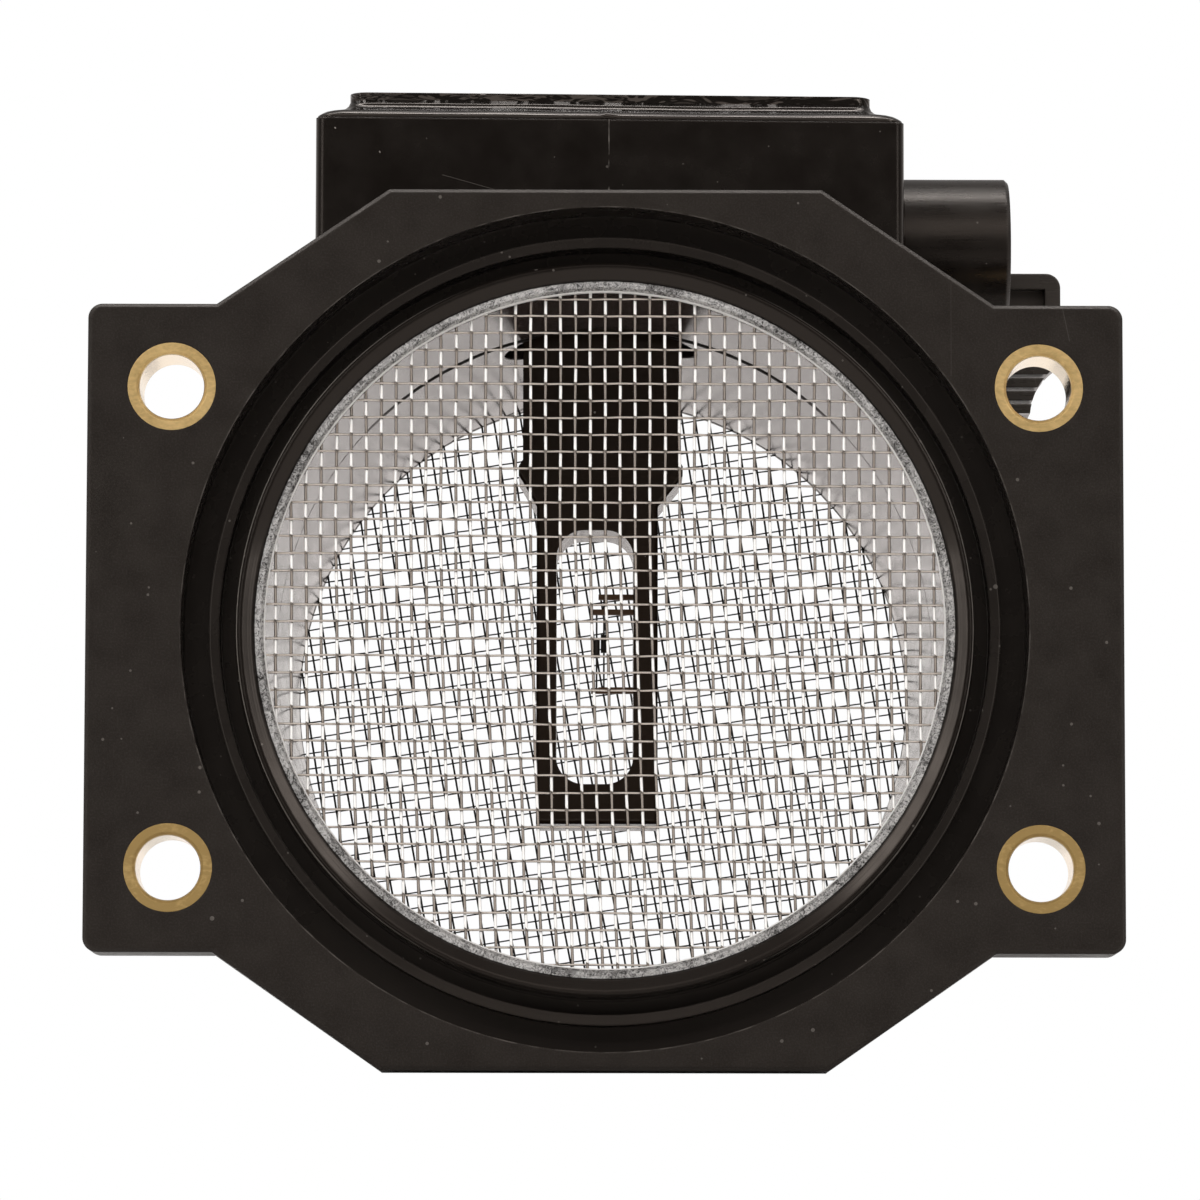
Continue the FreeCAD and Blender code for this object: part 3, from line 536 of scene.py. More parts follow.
# A pale tone for dust, also used for the painted highlights on the ridge crests.
DUST_AND_HIGHLIGHT_TONE = (0.34, 0.31, 0.28)
ZONE_TONES = {
    "guard": (0.042, 0.037, 0.033),
    "zone": (0.0125, 0.0105, 0.0092),
    "lip": DEEP_TONE,
    "low_zone": (0.014, 0.0115, 0.01),
    # Painted reflection: the bore's pale mauve tone stands in for the bright backdrop that its
    # polished wall mirrors.
    "bore": (0.085, 0.062, 0.058),
    "seam": DEEP_TONE,
}
CLOUDY = 0.04
SALTY = 0.1
DUSTY = 0.22
RIM_DUST = 0.16
MARKS = [
    {"start": (-17.3, 49.6), "end": (-11.8, 48.05), "width": 0.03, "strength": 0.2},
    {"start": (-28.75, 54.65), "end": (-28.7, 54.6), "width": 0.07, "strength": 0.7},
    {"start": (-24.0, 52.1), "end": (-23.95, 52.0), "width": 0.06, "strength": 0.7},
    {"start": (47.5, 33.3), "end": (48.2, 29.95), "width": 0.035, "strength": 0.09},
    {"start": (35.9, 36.0), "end": (35.9, 26.3), "width": 0.035, "strength": 0.05},
]


def worn_marks(tree, place):
    """The single scratches and specks that the real part carries, as one mask."""
    faint = []
    for mark in MARKS:
        values = zip(("Start X", "Start Z", "End X", "End Z", "Width"),
                     (*mark["start"], *mark["end"], mark["width"]))
        sizes = {key: value * MM for key, value in values}
        made = place_group(tree, SCRATCH, place, **sizes)
        faint.append(times(tree, made["Mask"], mark["strength"]))
    return largest(tree, *faint)


def body_colour(tree, place, masks, grain):
    """The moulding's colour: its tones by zone, with dust, marks, the parting line and the painted
    ridge highlights on top.
    """
    colour = blend(tree, masks["face"], DEEP_TONE, FACE_TONE)
    cloudy = times(tree, step_mask(tree, grain["Tone"], 0.3, 0.7), CLOUDY)
    colour = blend(tree, cloudy, colour, LINE_TONE)
    salty = times(tree, step_mask(tree, grain["Height"], 0.45, 0.7), masks["face"], SALTY)
    colour = blend(tree, salty, colour, LINE_TONE)
    for zone, tone in ZONE_TONES.items():
        colour = blend(tree, masks[zone], colour, tone)
    dust = place_group(tree, SPECKS, place, Scale=420.0, Size=0.1, Share=0.1)
    motes = place_group(tree, SPECKS, place, Scale=1100.0, Size=0.2, Share=0.09)
    outside = calculate(tree, "SUBTRACT", 1.0, masks["bore"])
    specks = times(tree, largest(tree, dust["Mask"], motes["Mask"]), DUSTY, outside)
    colour = blend(tree, largest(tree, specks, worn_marks(tree, place)), colour, DUST_AND_HIGHLIGHT_TONE)
    patches = place_group(tree, GRAIN, place, Scale=9000.0)
    broken = step_mask(tree, patches["Tone"], 0.42, 0.62)
    line = times(tree, masks["line"], broken)
    rim = times(tree, masks["rim"], broken, RIM_DUST)
    # The last blend also lays the painted highlights on the ridge crests.
    return blend(tree, largest(tree, line, rim, masks["ridges"]), colour, DUST_AND_HIGHLIGHT_TONE)


print("marks on the moulding:", len(MARKS))

# %% [markdown]
# ## Gloss and relief of the moulding
# What the eye reads as matt or polished is roughness. Each zone has its own, slightly uneven,
# and in the bore and on the barrel it runs in streaks along the way the tool was drawn. The
# relief is only as deep as a fingernail could feel, and a Bevel node rounds all edges.

# %% Gloss and relief of the moulding
BODY_MIRROR = 0.34
PLAIN_ROUGHNESS = 0.34
ZONE_ROUGHNESS = {"face": 0.43, "zone": 0.27, "low_zone": 0.5, "lip": 0.16, "box": 0.18}
BARREL_ROUGHNESS = (0.18, 0.4)
BORE_ROUGHNESS = (0.05, 0.24)
SEAM_ROUGHNESS = 0.85
UNEVENNESS = 0.25
BODY_RELIEF = 0.012 * MM
BODY_ROUNDING = 0.3 * MM


def body_roughness(tree, masks, grain, along_bore, along_barrel):
    """The moulding's roughness by zone, slightly uneven, and streaked in the bore and barrel."""
    rough = PLAIN_ROUGHNESS
    for zone, value in ZONE_ROUGHNESS.items():
        rough = level(tree, masks[zone], rough, value)
    rough = level(tree, masks["barrel"], rough, level(tree, along_barrel, *BARREL_ROUGHNESS))
    uneven = times(tree, calculate(tree, "SUBTRACT", grain["Tone"], 0.5), UNEVENNESS)
    rough = calculate(tree, "ADD", rough, uneven, clamp=True)
    rough = level(tree, masks["bore"], rough, level(tree, along_bore, *BORE_ROUGHNESS))
    return level(tree, masks["seam"], rough, SEAM_ROUGHNESS)


def make_body_material():
    """The one material of the moulding, with all its finishes."""
    material, tree, shader, place = new_material("black_moulding", FACE_TONE, PLAIN_ROUGHNESS)
    warm(shader, BODY_MIRROR)
    turning = place_group(tree, TURNING, place, Scale=1500.0)
    masks = body_masks(tree, place, turning["Radius"])
    grain = place_group(tree, GRAIN, place, Scale=5200.0)
    along_bore = streaks(tree, place, (0.5, 0.0, 0.3), (1.0, 0.12, 1.0), 420.0)
    along_barrel = streaks(tree, place, (0.0, 0.0, 0.0), (0.06, 1.0, 1.0), 2200.0)
    feed(tree, shader.inputs, {
        "Base Color": body_colour(tree, place, masks, grain),
        "Roughness": body_roughness(tree, masks, grain, along_bore, along_barrel),
    })
    height = times(tree, grain["Height"], masks["face"])
    reliefs = {"zone": turning["Height"], "bore": along_bore, "barrel": along_barrel}
    for zone, relief in reliefs.items():
        height = calculate(tree, "ADD", height, times(tree, relief, masks[zone]))
    bump(tree, shader, height, BODY_RELIEF, BODY_ROUNDING)
    return material


dress(["flow_body"], make_body_material())
print("dressed the moulding as", nodes["flow_body"].data.materials[0].name)

# %% [markdown]
# ## Brass and zinc
# The bushes are turned brass. Handling has dulled their faces, the lower two are darker, and the
# screws have polished their mouths. The screen rings are zinc with the mottled bloom that zinc
# grows, and their inner edge has a painted highlight, a pale and hardly metallic band. Distances
# from a bush's or a ring's axis pick out both.

# %% Brass
BRASS = (0.86, 0.61, 0.27)
BRASS_DARK = (0.4, 0.27, 0.1)
BRASS_WORN = (0.95, 0.8, 0.55)
BUSH_X = 45.0 * MM
BUSH_Z = 25.0 * MM
BUSH_MOUTH = 3.46 * MM
MOUTH_FADE = 0.1 * MM
LOWER_BUSHES = (10.0 * MM, -10.0 * MM)
TARNISH = 0.42
LOWER_DARKENING = 0.65
FINE_RELIEF = 0.012 * MM
SMALL_ROUNDING = 0.15 * MM


def make_brass():
    """Dull turned faces, and a mouth and bore that the screws have polished."""
    material, tree, shader, place = new_material("bush_brass", BRASS, 0.45, 0.7)
    grain = place_group(tree, GRAIN, place, Scale=5000.0)
    clouds = step_mask(tree, grain["Tone"], 0.4, 0.66)
    drawn = streaks(tree, place, (0.0, 0.5, 0.0), (0.5, 1.0, 1.0), 2600.0)
    brushed = step_mask(tree, drawn, 0.3, 0.7)
    point = split(tree, place)
    tone = times(tree, calculate(tree, "ADD", clouds, brushed), TARNISH)
    # The lower bushes are darker towards the bottom.
    lower = times(tree, step_mask(tree, point["Z"], *LOWER_BUSHES), LOWER_DARKENING)
    tone = calculate(tree, "ADD", tone, lower, clamp=True)
    across = calculate(tree, "SUBTRACT", calculate(tree, "ABSOLUTE", point["X"]), BUSH_X)
    upright = calculate(tree, "SUBTRACT", calculate(tree, "ABSOLUTE", point["Z"]), BUSH_Z)
    from_axis = hypotenuse(tree, across, upright)
    mouth = step_mask(tree, from_axis, BUSH_MOUTH, BUSH_MOUTH - MOUTH_FADE)
    feed(tree, shader.inputs, {
        "Base Color": blend(tree, mouth, blend(tree, tone, BRASS, BRASS_DARK), BRASS_WORN),
        "Roughness": level(tree, mouth, level(tree, tone, 0.38, 0.52), 0.12),
        "Metallic": level(tree, mouth, 0.72, 1.0),
    })
    bump(tree, shader, grain["Height"], FINE_RELIEF, SMALL_ROUNDING)
    return material


dress(named("bush_"), make_brass())
print("brass on", named("bush_"))

# %% Zinc
ZINC_PLAIN = (0.4, 0.4, 0.4)
ZINC_PALE = (0.62, 0.61, 0.6)
ZINC_DARK = (0.025, 0.023, 0.022)
ZINC_EDGE_HIGHLIGHT = (0.85, 0.84, 0.82)
RING_HIGHLIGHT_WIDTH = 0.16 * MM
BLOOM_RELIEF = 0.06 * MM
RING_ROUNDING = 0.12 * MM


def inner_radius(name):
    """The smallest distance of a node's points from the axis of the bore."""
    return min(math.hypot(vert.co.x, vert.co.z) for vert in nodes[name].data.vertices)


def make_zinc():
    """Mottled zinc with a painted highlight along its turned inner edge."""
    material, tree, shader, place = new_material("ring_zinc", ZINC_PLAIN, 0.45, 0.6)
    blooms = noise_field(tree, place, 2600.0, 5.0, 0.7, 1.5)
    broad = noise_field(tree, place, 260.0, 3.0)
    mottled = times(tree, blooms, level(tree, broad, 0.7, 1.3))
    colour = blend(tree, step_mask(tree, mottled, 0.38, 0.6), ZINC_DARK, ZINC_PALE)
    radius = place_group(tree, TURNING, place)["Radius"]
    inner = inner_radius("inlet_screen_ring")
    # Painted highlight: a pale, hardly metallic band along the ring's inner edge.
    edge = step_mask(tree, radius, inner + RING_HIGHLIGHT_WIDTH, inner + RING_HIGHLIGHT_WIDTH / 2)
    feed(tree, shader.inputs, {
        "Base Color": blend(tree, edge, colour, ZINC_EDGE_HIGHLIGHT),
        "Roughness": level(tree, mottled, 0.3, 0.6),
        "Metallic": level(tree, edge, 0.6, 0.1),
    })
    bump(tree, shader, mottled, BLOOM_RELIEF, RING_ROUNDING)
    return material


dress(["inlet_screen_ring", "outlet_screen_ring"], make_zinc())
print("the inlet ring is", round(2 * inner_radius("inlet_screen_ring") / MM, 2), "mm wide inside")

# %% [markdown]
# ## Glossy black and the small parts
# The bar and the cover are glossier than the body. What tells poured or moulded gloss from
# glass is that its mirror image waves a little, so a slow noise bends the surface, drawn out
# where the real waves are, and faint on top, where the light would show them too strongly. The
# small parts inside have one plain finish each, with a slight unevenness. A row of their table
# is a material, its nodes, its colour, roughness and share of metal, and its grain's scale.

# %% Glossy black
BLACK = (0.006, 0.005, 0.0042)
BAR_BLACK = (0.02, 0.0125, 0.0078)
LOOKS_UP = (0.9, 0.98)
FLAT_WAVES = 0.04


def make_gloss_black(name, roughness, waves, tone=BLACK, scale=260.0, rounding=SMALL_ROUNDING,
                     drawn=(1.0, 1.0, 1.0)):
    """Glossy black plastic or sealant. Its waves are drawn out, and faint where it looks up."""
    material, tree, shader, place = new_material(name, tone, roughness)
    warm(shader)
    stretch = add(tree, "ShaderNodeMapping", {"Vector": place, "Scale": drawn}).outputs["Vector"]
    wave = noise_field(tree, stretch, scale, 2.0, 0.5, 0.9)
    dust = place_group(tree, SPECKS, place, Scale=900.0, Size=0.14, Share=0.08)
    feed(tree, shader.inputs, {
        "Base Color": blend(tree, dust["Mask"], tone, DUST_AND_HIGHLIGHT_TONE),
        "Roughness": level(tree, wave, roughness * 0.7, roughness * 1.3),
    })
    upward = step_mask(tree, surface_normal(tree)["Z"], *LOOKS_UP)
    height = times(tree, wave, level(tree, upward, 1.0, FLAT_WAVES))
    bump(tree, shader, height, waves, rounding)
    return material


dress(["sensor_bar"], make_gloss_black("bar_plastic", 0.2, 0.03 * MM, BAR_BLACK))
dress(["cover_plate"], make_gloss_black("cover_gloss", 0.1, 0.6 * MM, scale=620.0,
                                        rounding=0.1 * MM, drawn=(0.3, 1.0, 1.0)))
print("glossy black on the bar and the cover")

# %% Small parts
PLAIN_RELIEF = 0.01 * MM
TERMINALS = [name for name in named("terminal_") if "jumper" not in name]
JUMPERS = named("hot_jumper", "cold_jumper", "terminal_jumper")
SMALL_PARTS = [
    ("element_glaze", named("hot_element", "cold_element"), (0.03, 0.024, 0.02), 0.35, 0.0, 3000.0),
    ("seal_rubber", ["bar_seal"], (0.02, 0.02, 0.02), 0.6, 0.0, 3000.0),
    ("pin_bronze", named("hot_pin", "cold_pin"), (0.17, 0.1, 0.06), 0.36, 0.8, 6000.0),
    ("jumper_strip", JUMPERS, (0.75, 0.75, 0.76), 0.25, 1.0, 3000.0),
    ("terminal_tin", TERMINALS, (0.72, 0.71, 0.68), 0.32, 1.0, 3000.0),
    ("plate_aluminium", ["base_plate"], (0.66, 0.67, 0.68), 0.35, 1.0, 3000.0),
    ("board_alumina", ["circuit_board"], (0.82, 0.81, 0.76), 0.5, 0.0, 3000.0),
    ("chip_black", ["power_transistor", "control_chip"], (0.02, 0.02, 0.02), 0.4, 0.0, 3000.0),
    ("capacitor_tan", named("capacitor"), (0.5, 0.38, 0.25), 0.45, 0.0, 3000.0),
    ("resistor_glaze", ["trim_resistor", "sense_resistor"], (0.05, 0.07, 0.06), 0.3, 0.0, 3000.0),
]


def make_plain(name, colour, roughness, metallic, scale):
    """A small part's finish: one colour with slight unevenness in tone, gloss and relief."""
    material, tree, shader, place = new_material(name, colour, roughness, metallic)
    grain = place_group(tree, GRAIN, place, Scale=scale)
    darker = tuple(value * 0.72 for value in colour)
    feed(tree, shader.inputs, {
        "Base Color": blend(tree, grain["Tone"], darker, colour),
        "Roughness": level(tree, grain["Height"], roughness * 0.85, roughness * 1.15),
    })
    bump(tree, shader, grain["Height"], PLAIN_RELIEF)
    return material


for name, parts, *finish in SMALL_PARTS:
    dress(parts, make_plain(name, *finish))
print("dressed", len([name for name in nodes if nodes[name].data.materials]), "nodes")

# %% [markdown]
# ## One crimped wire
# The screens are a plain weave: every wire goes over one crossing wire and under the next. One
# wire is a thin tube, cut across many times and bent to and fro. Between two crossings a real
# wire is almost straight, so the cuts are drawn together at the crowns.

# %% One crimped wire
WIRE_SIDES = 6
BENDS_PER_CROSSING = 4
CROWN_REACH = 0.17
CROWN_HEIGHT = 0.7


def bend(vert, pitch, crimp):
    """Moves a point of a straight wire to its place in the weave's zigzag."""
    crossing = round(vert.co.x / pitch)
    aside = vert.co.x / pitch - crossing
    over = 1 if crossing % 2 == 0 else -1
    quarter = 1 / BENDS_PER_CROSSING
    if abs(aside) > 1.5 * quarter:
        rise = 0.0
    elif abs(aside) > 0.5 * quarter:
        vert.co.x = pitch * (crossing + math.copysign(CROWN_REACH, aside))
        rise = CROWN_HEIGHT
    else:
        rise = 1.0
    vert.co.y += over * rise * crimp


def one_wire(diameter, crossings, pitch, crimp):
    """A wire along X that goes to and fro along Y, in a mesh of its own."""
    length = 2 * crossings * pitch
    mesh = bmesh.new()
    bmesh.ops.create_cone(mesh, segments=WIRE_SIDES, radius1=diameter / 2, radius2=diameter / 2,
                          depth=length, cap_ends=False)
    long_edges = [edge for edge in mesh.edges if edge.calc_length() > length / 2]
    cuts = 2 * crossings * BENDS_PER_CROSSING - 1
    bmesh.ops.subdivide_edges(mesh, edges=long_edges, cuts=cuts, use_grid_fill=True)
    lay_down = Matrix.Rotation(math.pi / 2, 3, "Y")
    bmesh.ops.rotate(mesh, verts=mesh.verts, cent=ORIGIN, matrix=lay_down)
    for vert in mesh.verts:
        bend(vert, pitch, crimp)
    return mesh


# %% [markdown]
# ## Laying the wires
# Copies of the one wire lie side by side, every second one moved on by one crossing, so that
# the bends interlock. Each copy is cut off at the circle, wanders a little, and loses its
# crimp towards the ring that grips it.

# %% Laying the wires
WANDER = 0.1 * MM
WANDER_SCALE = 120.0
WIRE_APART = 900.0
RIM_FLAT = 1.6 * MM
RIM_PRESSED = 0.62


def trim(copy, half):
    """Cuts a wire off at both ends and closes it there."""
    surplus = [vert for vert in copy.verts if abs(vert.co.x) > half]
    bmesh.ops.delete(copy, geom=surplus, context="VERTS")
    ends = [edge for edge in copy.edges if edge.is_boundary]
    bmesh.ops.holes_fill(copy, edges=ends, sides=WIRE_SIDES)


def let_wander(copy, aside, radius, seed):
    """Moves a wire to its place, lets it wander and presses it flat near the ring."""
    for vert in copy.verts:
        waver = noise.noise(Vector((aside * WIRE_APART, vert.co.x * WANDER_SCALE, seed)))
        edge = (math.hypot(vert.co.x, aside) - radius + RIM_FLAT) / RIM_FLAT
        edge = min(1.0, max(0.0, edge))
        vert.co.y *= 1 - RIM_PRESSED * edge
        vert.co.z += aside + WANDER * waver * (1 + edge)


def lay_wires(cloth, single, radius, layout, seed):
    """Copies one wire side by side over the circle and frees it."""
    scratch = bpy.data.meshes.new("wire")
    spacing, start, step = layout["spacing"], layout["start"], layout["step"]
    lowest = math.ceil((-radius - start) / spacing)
    for number in range(lowest, lowest + int(2 * radius / spacing) + 1):
        aside = start + number * spacing
        if abs(aside) >= radius:
            continue
        copy = single.copy()
        move = layout["along"] + (step if number % 2 else 0.0)
        bmesh.ops.translate(copy, verts=copy.verts, vec=(move, 0, 0))
        trim(copy, math.sqrt(radius ** 2 - aside ** 2))
        let_wander(copy, aside, radius, seed)
        for face in copy.faces:
            face.material_index = layout["slot"]
        if layout["upright"]:
            turn = Matrix.Rotation(math.pi / 2, 3, "Y")
            bmesh.ops.rotate(copy, verts=copy.verts, cent=ORIGIN, matrix=turn)
        copy.to_mesh(scratch)
        copy.free()
        cloth.from_mesh(scratch)
    single.free()
    bpy.data.meshes.remove(scratch)


# %% [markdown]
# ## The wires' metal
# The slopes that look up carry a painted highlight, a near-white colour, and that makes the row of
# white dashes on the upright wires. The steepness of a slope follows from the surface's own
# normal, so the dashes stay where they are from every side. The sides of a wire that look away
# from front and back get painted shade.

# %% Wire metal
LEVEL_SHARE = 0.03
# Slopes over which the painted highlight comes in, and facings over which the painted side shade
# goes.
HIGHLIGHT_SLOPES = (0.08, 0.13)
SHADED_SIDES = (0.45, 0.95)


def make_wire_material(name, dull, highlight_tone, metal):
    """Drawn wire with a painted highlight on slopes that look up and painted shade on its sides."""
    material, tree, shader, place = new_material(name, dull, 0.3, 1.0)
    normal = surface_normal(tree)
    facing = calculate(tree, "ABSOLUTE", normal["Y"])
    across = calculate(tree, "ADD", facing, LEVEL_SHARE)
    painted_highlight = step_mask(tree, calculate(tree, "DIVIDE", normal["Z"], across), *HIGHLIGHT_SLOPES)
    grain = place_group(tree, GRAIN, place, Scale=5000.0)
    darker = tuple(value * 0.75 for value in dull)
    side_shade = tuple(value * 0.3 for value in dull)
    colour = blend(tree, grain["Tone"], darker, dull)
    # Painted shade on the sides of a wire that look away from front and back.
    colour = blend(tree, step_mask(tree, facing, *SHADED_SIDES), side_shade, colour)
    feed(tree, shader.inputs, {
        "Base Color": blend(tree, painted_highlight, colour, highlight_tone),
        "Roughness": level(tree, painted_highlight, 0.25, 0.4),
        "Metallic": level(tree, painted_highlight, 1.0, metal),
    })
    return material


PAINTED_HIGHLIGHT_WIRE = make_wire_material("painted_highlight_wire", (0.5, 0.44, 0.39), (0.98, 0.97, 0.95), 0.4)
TAN_WIRE = make_wire_material("tan_wire", (0.92, 0.83, 0.75), (0.9, 0.82, 0.74), 1.0)
# The outlet's wire is painted near-black: painted shade for a cloth that sits deep in the tube.
SHADED_WIRE = make_plain("painted_shade_wire", (0.045, 0.04, 0.037), 0.4, 0.8, 5000.0)
print("wire materials", [made.name for made in (PAINTED_HIGHLIGHT_WIRE, TAN_WIRE, SHADED_WIRE)])

# %% [markdown]
# ## The two screens
# The inlet's cloth has thick upright wires and thin level ones. Its lower part leans to one
# side, as the real cloth was pushed when it was pressed in. The outlet's cloth is seen through
# it: thinner, painted near-black as shade for a cloth deep in the tube, and turned a little, so
# the two patterns don't fall on each other.

# %% The two screens
WARP_PITCH = 1.5545 * MM
WEFT_PITCH = 1.78 * MM
WARP_DIAMETER = 0.36 * MM
WEFT_DIAMETER = 0.25 * MM
WARP_CRIMP = 0.19 * MM
WEFT_CRIMP = 0.12 * MM
WEFT_START = 0.815 * MM
WEFT_SEED = 7
SPARE_CROSSINGS = 3
RIM_ROOM = 0.4 * MM
LEAN_START = 12.0 * MM
LEAN_REACH = 32.0 * MM
LEAN = 0.85 * MM
LEAN_CURVE = 1.3
LEAN_HOLD = 4
REAR_THINNESS = 0.72
REAR_TURN = math.radians(8.5)


def finish_piece(mesh, name, materials):
    """Turns a bmesh into a piece of the object that rides on the body."""
    bmesh.ops.recalc_face_normals(mesh, faces=mesh.faces)
    data = bpy.data.meshes.new(name)
    mesh.to_mesh(data)
    mesh.free()
    for polygon in data.polygons:
        polygon.use_smooth = True
    for material in materials:
        data.materials.append(material)
    piece = bpy.data.objects.new(name, data)
    bpy.context.scene.collection.objects.link(piece)
    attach(piece, BODY)
    print(name, sum(len(polygon.vertices) - 2 for polygon in data.polygons), "triangles")
    return piece


def lean_sideways(cloth, radius):
    """Pushes the lower part of a cloth to one side. Near the ring it stays in its place."""
    for vert in cloth.verts:
        below = max(0.0, LEAN_START - vert.co.z) / LEAN_REACH
        free = max(0.0, 1 - (vert.co.x / radius) ** LEAN_HOLD)
        vert.co.x += LEAN * below ** LEAN_CURVE * free


def make_screen(node, name, thinness, turn, seed, materials):
    """A woven screen in the place of a CAD screen."""
    low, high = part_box(node)
    radius = (high[0] - low[0]) / 2 - RIM_ROOM
    cloth = bmesh.new()
    crossings = int(radius / WEFT_PITCH) + SPARE_CROSSINGS
    warp = one_wire(WARP_DIAMETER * thinness, crossings, WEFT_PITCH, -WARP_CRIMP)
    upright_wires = {"spacing": WARP_PITCH, "start": 0.0, "along": -WEFT_START,
                     "step": WEFT_PITCH, "upright": True, "slot": 0}
    lay_wires(cloth, warp, radius, upright_wires, seed)
    crossings = int(radius / WARP_PITCH) + SPARE_CROSSINGS
    weft = one_wire(WEFT_DIAMETER * thinness, crossings, WARP_PITCH, WEFT_CRIMP)
    level_wires = {"spacing": WEFT_PITCH, "start": WEFT_START, "along": 0.0,
                   "step": WARP_PITCH, "upright": False, "slot": 1}
    lay_wires(cloth, weft, radius, level_wires, seed + WEFT_SEED)
    lean_sideways(cloth, radius)
    turned = Matrix.Rotation(-turn, 3, "Y")
    bmesh.ops.rotate(cloth, verts=cloth.verts, cent=ORIGIN, matrix=turned)
    bmesh.ops.translate(cloth, verts=cloth.verts, vec=(0, (low[1] + high[1]) / 2, 0))
    piece = finish_piece(cloth, name, materials)
    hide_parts(node)


make_screen("inlet_screen", "inlet_cloth", 1.0, 0.0, 3, [PAINTED_HIGHLIGHT_WIRE, TAN_WIRE])
make_screen("outlet_screen", "outlet_cloth", REAR_THINNESS, REAR_TURN, 11,
            [SHADED_WIRE, SHADED_WIRE])

# %% [markdown]
# ## The sealant round the cover
# The cover is set in a bead of black sealant that was poured round it by hand. It rounds over at
# the rim of the box and climbs the cover in a hollow curve, and no stretch of it is quite even.
# One face with rounded corners is pulled up and drawn in step by step along that curve. The
# open middle is closed against the bottom, so the bead is a ring as the real one is. The
# profile is pairs: the share of the way in from rim to cover, and the height in millimetres.

# %% Foot of the bead
ROOF_TILT = math.radians(0.42)
BEAD_OVERFLOW = 0.25 * MM
BEAD_CORNER = 2.2 * MM
BEAD_STEP = 0.7 * MM


def bead_start(low, high):
    """A flat face with rounded corners, as large as the bead's foot, with many points round it."""
    mesh = bmesh.new()
    bmesh.ops.create_grid(mesh, x_segments=1, y_segments=1, size=0.5)
    bmesh.ops.scale(mesh, verts=mesh.verts, vec=(high[0] - low[0], high[1] - low[1], 1))
    bmesh.ops.bevel(mesh, geom=mesh.verts[:], offset=BEAD_CORNER, offset_type="OFFSET",
                    affect="VERTICES", segments=5, profile=0.5, material=-1)
    for edge in list(mesh.edges):
        cuts = int(edge.calc_length() / BEAD_STEP)
        if cuts:
            bmesh.ops.subdivide_edges(mesh, edges=[edge], cuts=cuts)
    return mesh


def half_size(low, high):
    """Half the width and half the depth of a box."""
    return Vector(((high[0] - low[0]) / 2, (high[1] - low[1]) / 2))


# %% Climb of the bead
BEAD_PROFILE = [(0.02, 0.34), (0.06, 0.47), (0.13, 0.64), (0.21, 0.81), (0.3, 0.92),
                (0.5, 1.06), (0.7, 1.25), (0.84, 1.47), (0.94, 1.8), (1.0, 2.25)]
BEAD_UNEVEN = 0.1 * MM
UNEVEN_GROWTH = 3
RIPPLE_SHARE = 0.5
RIPPLE_SCALE = 160.0
RIPPLE_CLIMB = 0.8
SWELL_SCALE = 45.0
SWELL_SEED = 4.0


def unevenness(place, share, height):
    """How far a point of the bead stands off its even curve: short ripples and a long swell."""
    along = (place.x * RIPPLE_SCALE, place.y * RIPPLE_SCALE, height * RIPPLE_CLIMB)
    slow = (place.x * SWELL_SCALE, place.y * SWELL_SCALE, SWELL_SEED)
    wave = RIPPLE_SHARE * noise.noise(Vector(along)) + noise.noise(Vector(slow))
    return BEAD_UNEVEN * min(1.0, UNEVEN_GROWTH * share) * wave


def climb(mesh, half, inner):
    """Pulls the foot's face up and draws it in along the profile, and opens the middle."""
    top = mesh.faces[:]
    before = Vector((1.0, 1.0))
    for share, height in BEAD_PROFILE:
        grown = bmesh.ops.extrude_face_region(mesh, geom=top)["geom"]
        passed = [face for face in top if face.is_valid]
        bmesh.ops.delete(mesh, geom=passed, context="FACES_ONLY")
        top = [item for item in grown if isinstance(item, bmesh.types.BMFace)]
        ring = [item for item in grown if isinstance(item, bmesh.types.BMVert)]
        size = Vector((1 + (inner.x / half.x - 1) * share, 1 + (inner.y / half.y - 1) * share))
        bmesh.ops.scale(mesh, verts=ring, vec=(size.x / before.x, size.y / before.y, 1))
        before = size
        for vert in ring:
            vert.co.z = height * MM + unevenness(vert.co, share, height)
    bmesh.ops.delete(mesh, geom=top, context="FACES_ONLY")


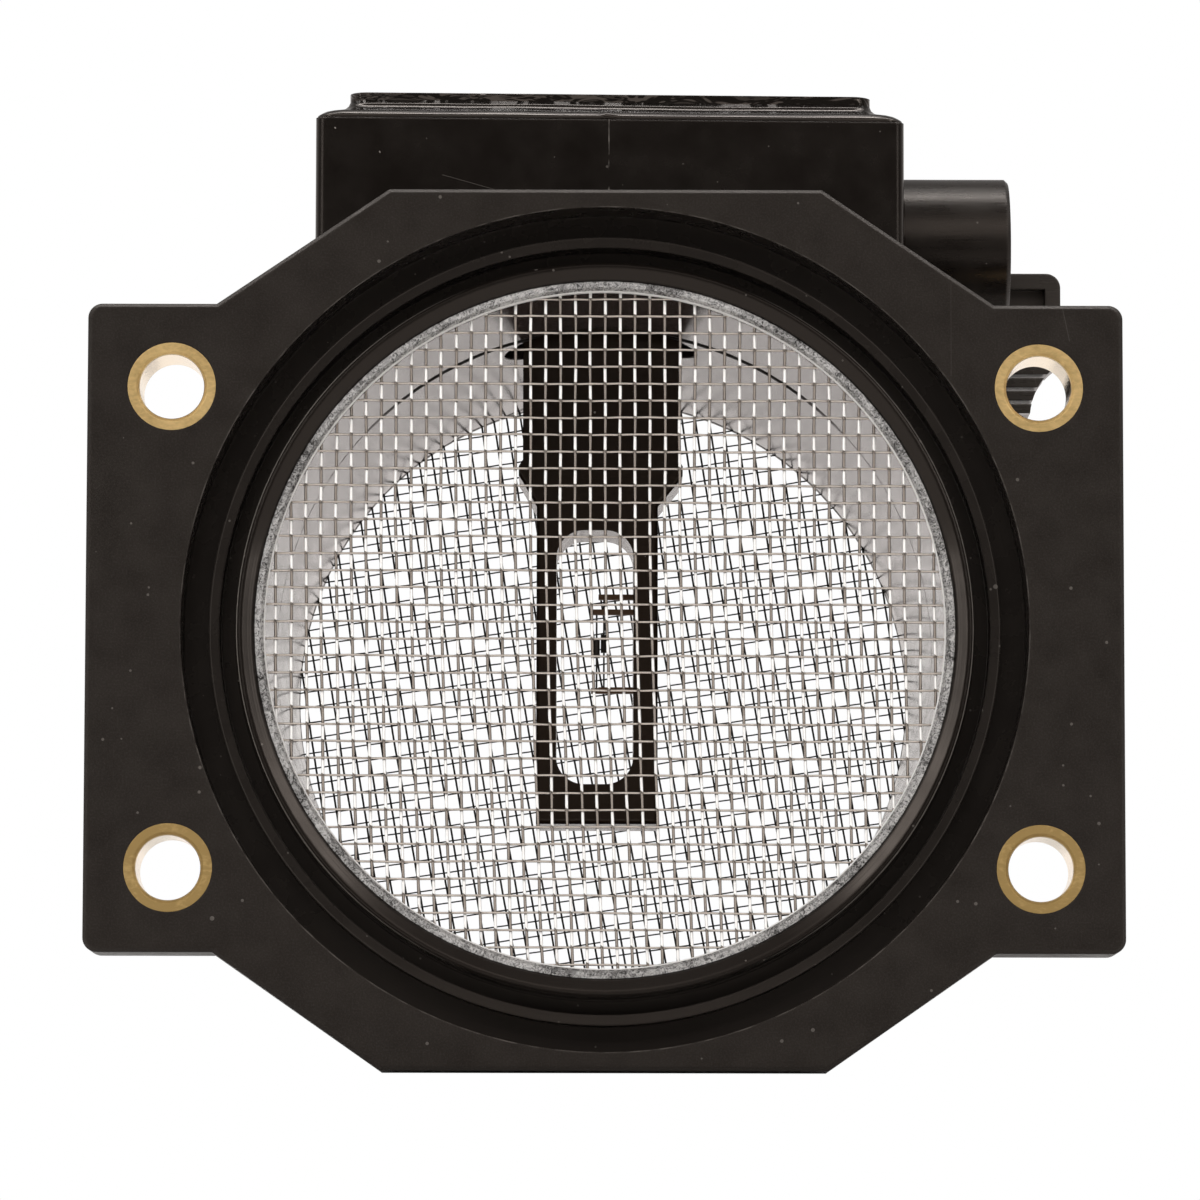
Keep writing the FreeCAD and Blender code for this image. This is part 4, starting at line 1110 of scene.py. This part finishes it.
# %% Closing the bead
UPPER_EDGE = 1.0 * MM
LOWER_EDGE = 0.01 * MM
BURR_FOOT = 0.05 * MM
BURR_HEIGHT = 0.25 * MM
BURR_REACH = 0.5 * MM


def close_ring(mesh):
    """Drops a wall from the bead's inner edge and joins it to the foot underneath."""
    open_edges = [edge for edge in mesh.edges if edge.is_boundary]
    upper = [edge for edge in open_edges if edge.verts[0].co.z > UPPER_EDGE]
    lower = [edge for edge in open_edges if edge.verts[0].co.z < LOWER_EDGE]
    dropped = bmesh.ops.extrude_edge_only(mesh, edges=upper)["geom"]
    for item in dropped:
        if isinstance(item, bmesh.types.BMVert):
            item.co.z = 0.0
    inner_loop = [item for item in dropped if isinstance(item, bmesh.types.BMEdge)]
    bmesh.ops.bridge_loops(mesh, edges=lower + inner_loop)


def raise_burr(mesh, front):
    """The small burr over the box's parting line, at the front of the bead."""
    for vert in mesh.verts:
        near = math.hypot(vert.co.x - PARTING_X, vert.co.y - front) / BURR_REACH
        if vert.co.z > BURR_FOOT:
            vert.co.z += BURR_HEIGHT * math.exp(-near ** 2)


def make_bead():
    """The sealant in the place of the CAD bead, tilted as the cover is."""
    low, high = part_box("sealant_bead")
    rim = low[2] + high[0] * math.sin(ROOF_TILT)
    low = (low[0] - BEAD_OVERFLOW, low[1] - BEAD_OVERFLOW)
    high = (high[0] + BEAD_OVERFLOW, high[1] + BEAD_OVERFLOW)
    mesh = bead_start(low, high)
    climb(mesh, half_size(low, high), half_size(*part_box("cover_plate")))
    close_ring(mesh)
    middle = ((low[0] + high[0]) / 2, (low[1] + high[1]) / 2, 0)
    bmesh.ops.translate(mesh, verts=mesh.verts, vec=middle)
    raise_burr(mesh, low[1])
    tilt = Matrix.Rotation(ROOF_TILT, 3, "Y")
    bmesh.ops.rotate(mesh, verts=mesh.verts, cent=ORIGIN, matrix=tilt)
    bmesh.ops.translate(mesh, verts=mesh.verts, vec=(0, 0, rim))
    material = make_gloss_black("sealant_gloss", 0.15, 0.03 * MM, scale=220.0, rounding=0.0)
    piece = finish_piece(mesh, "sealant_fillet", [material])
    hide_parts("sealant_bead")


make_bead()
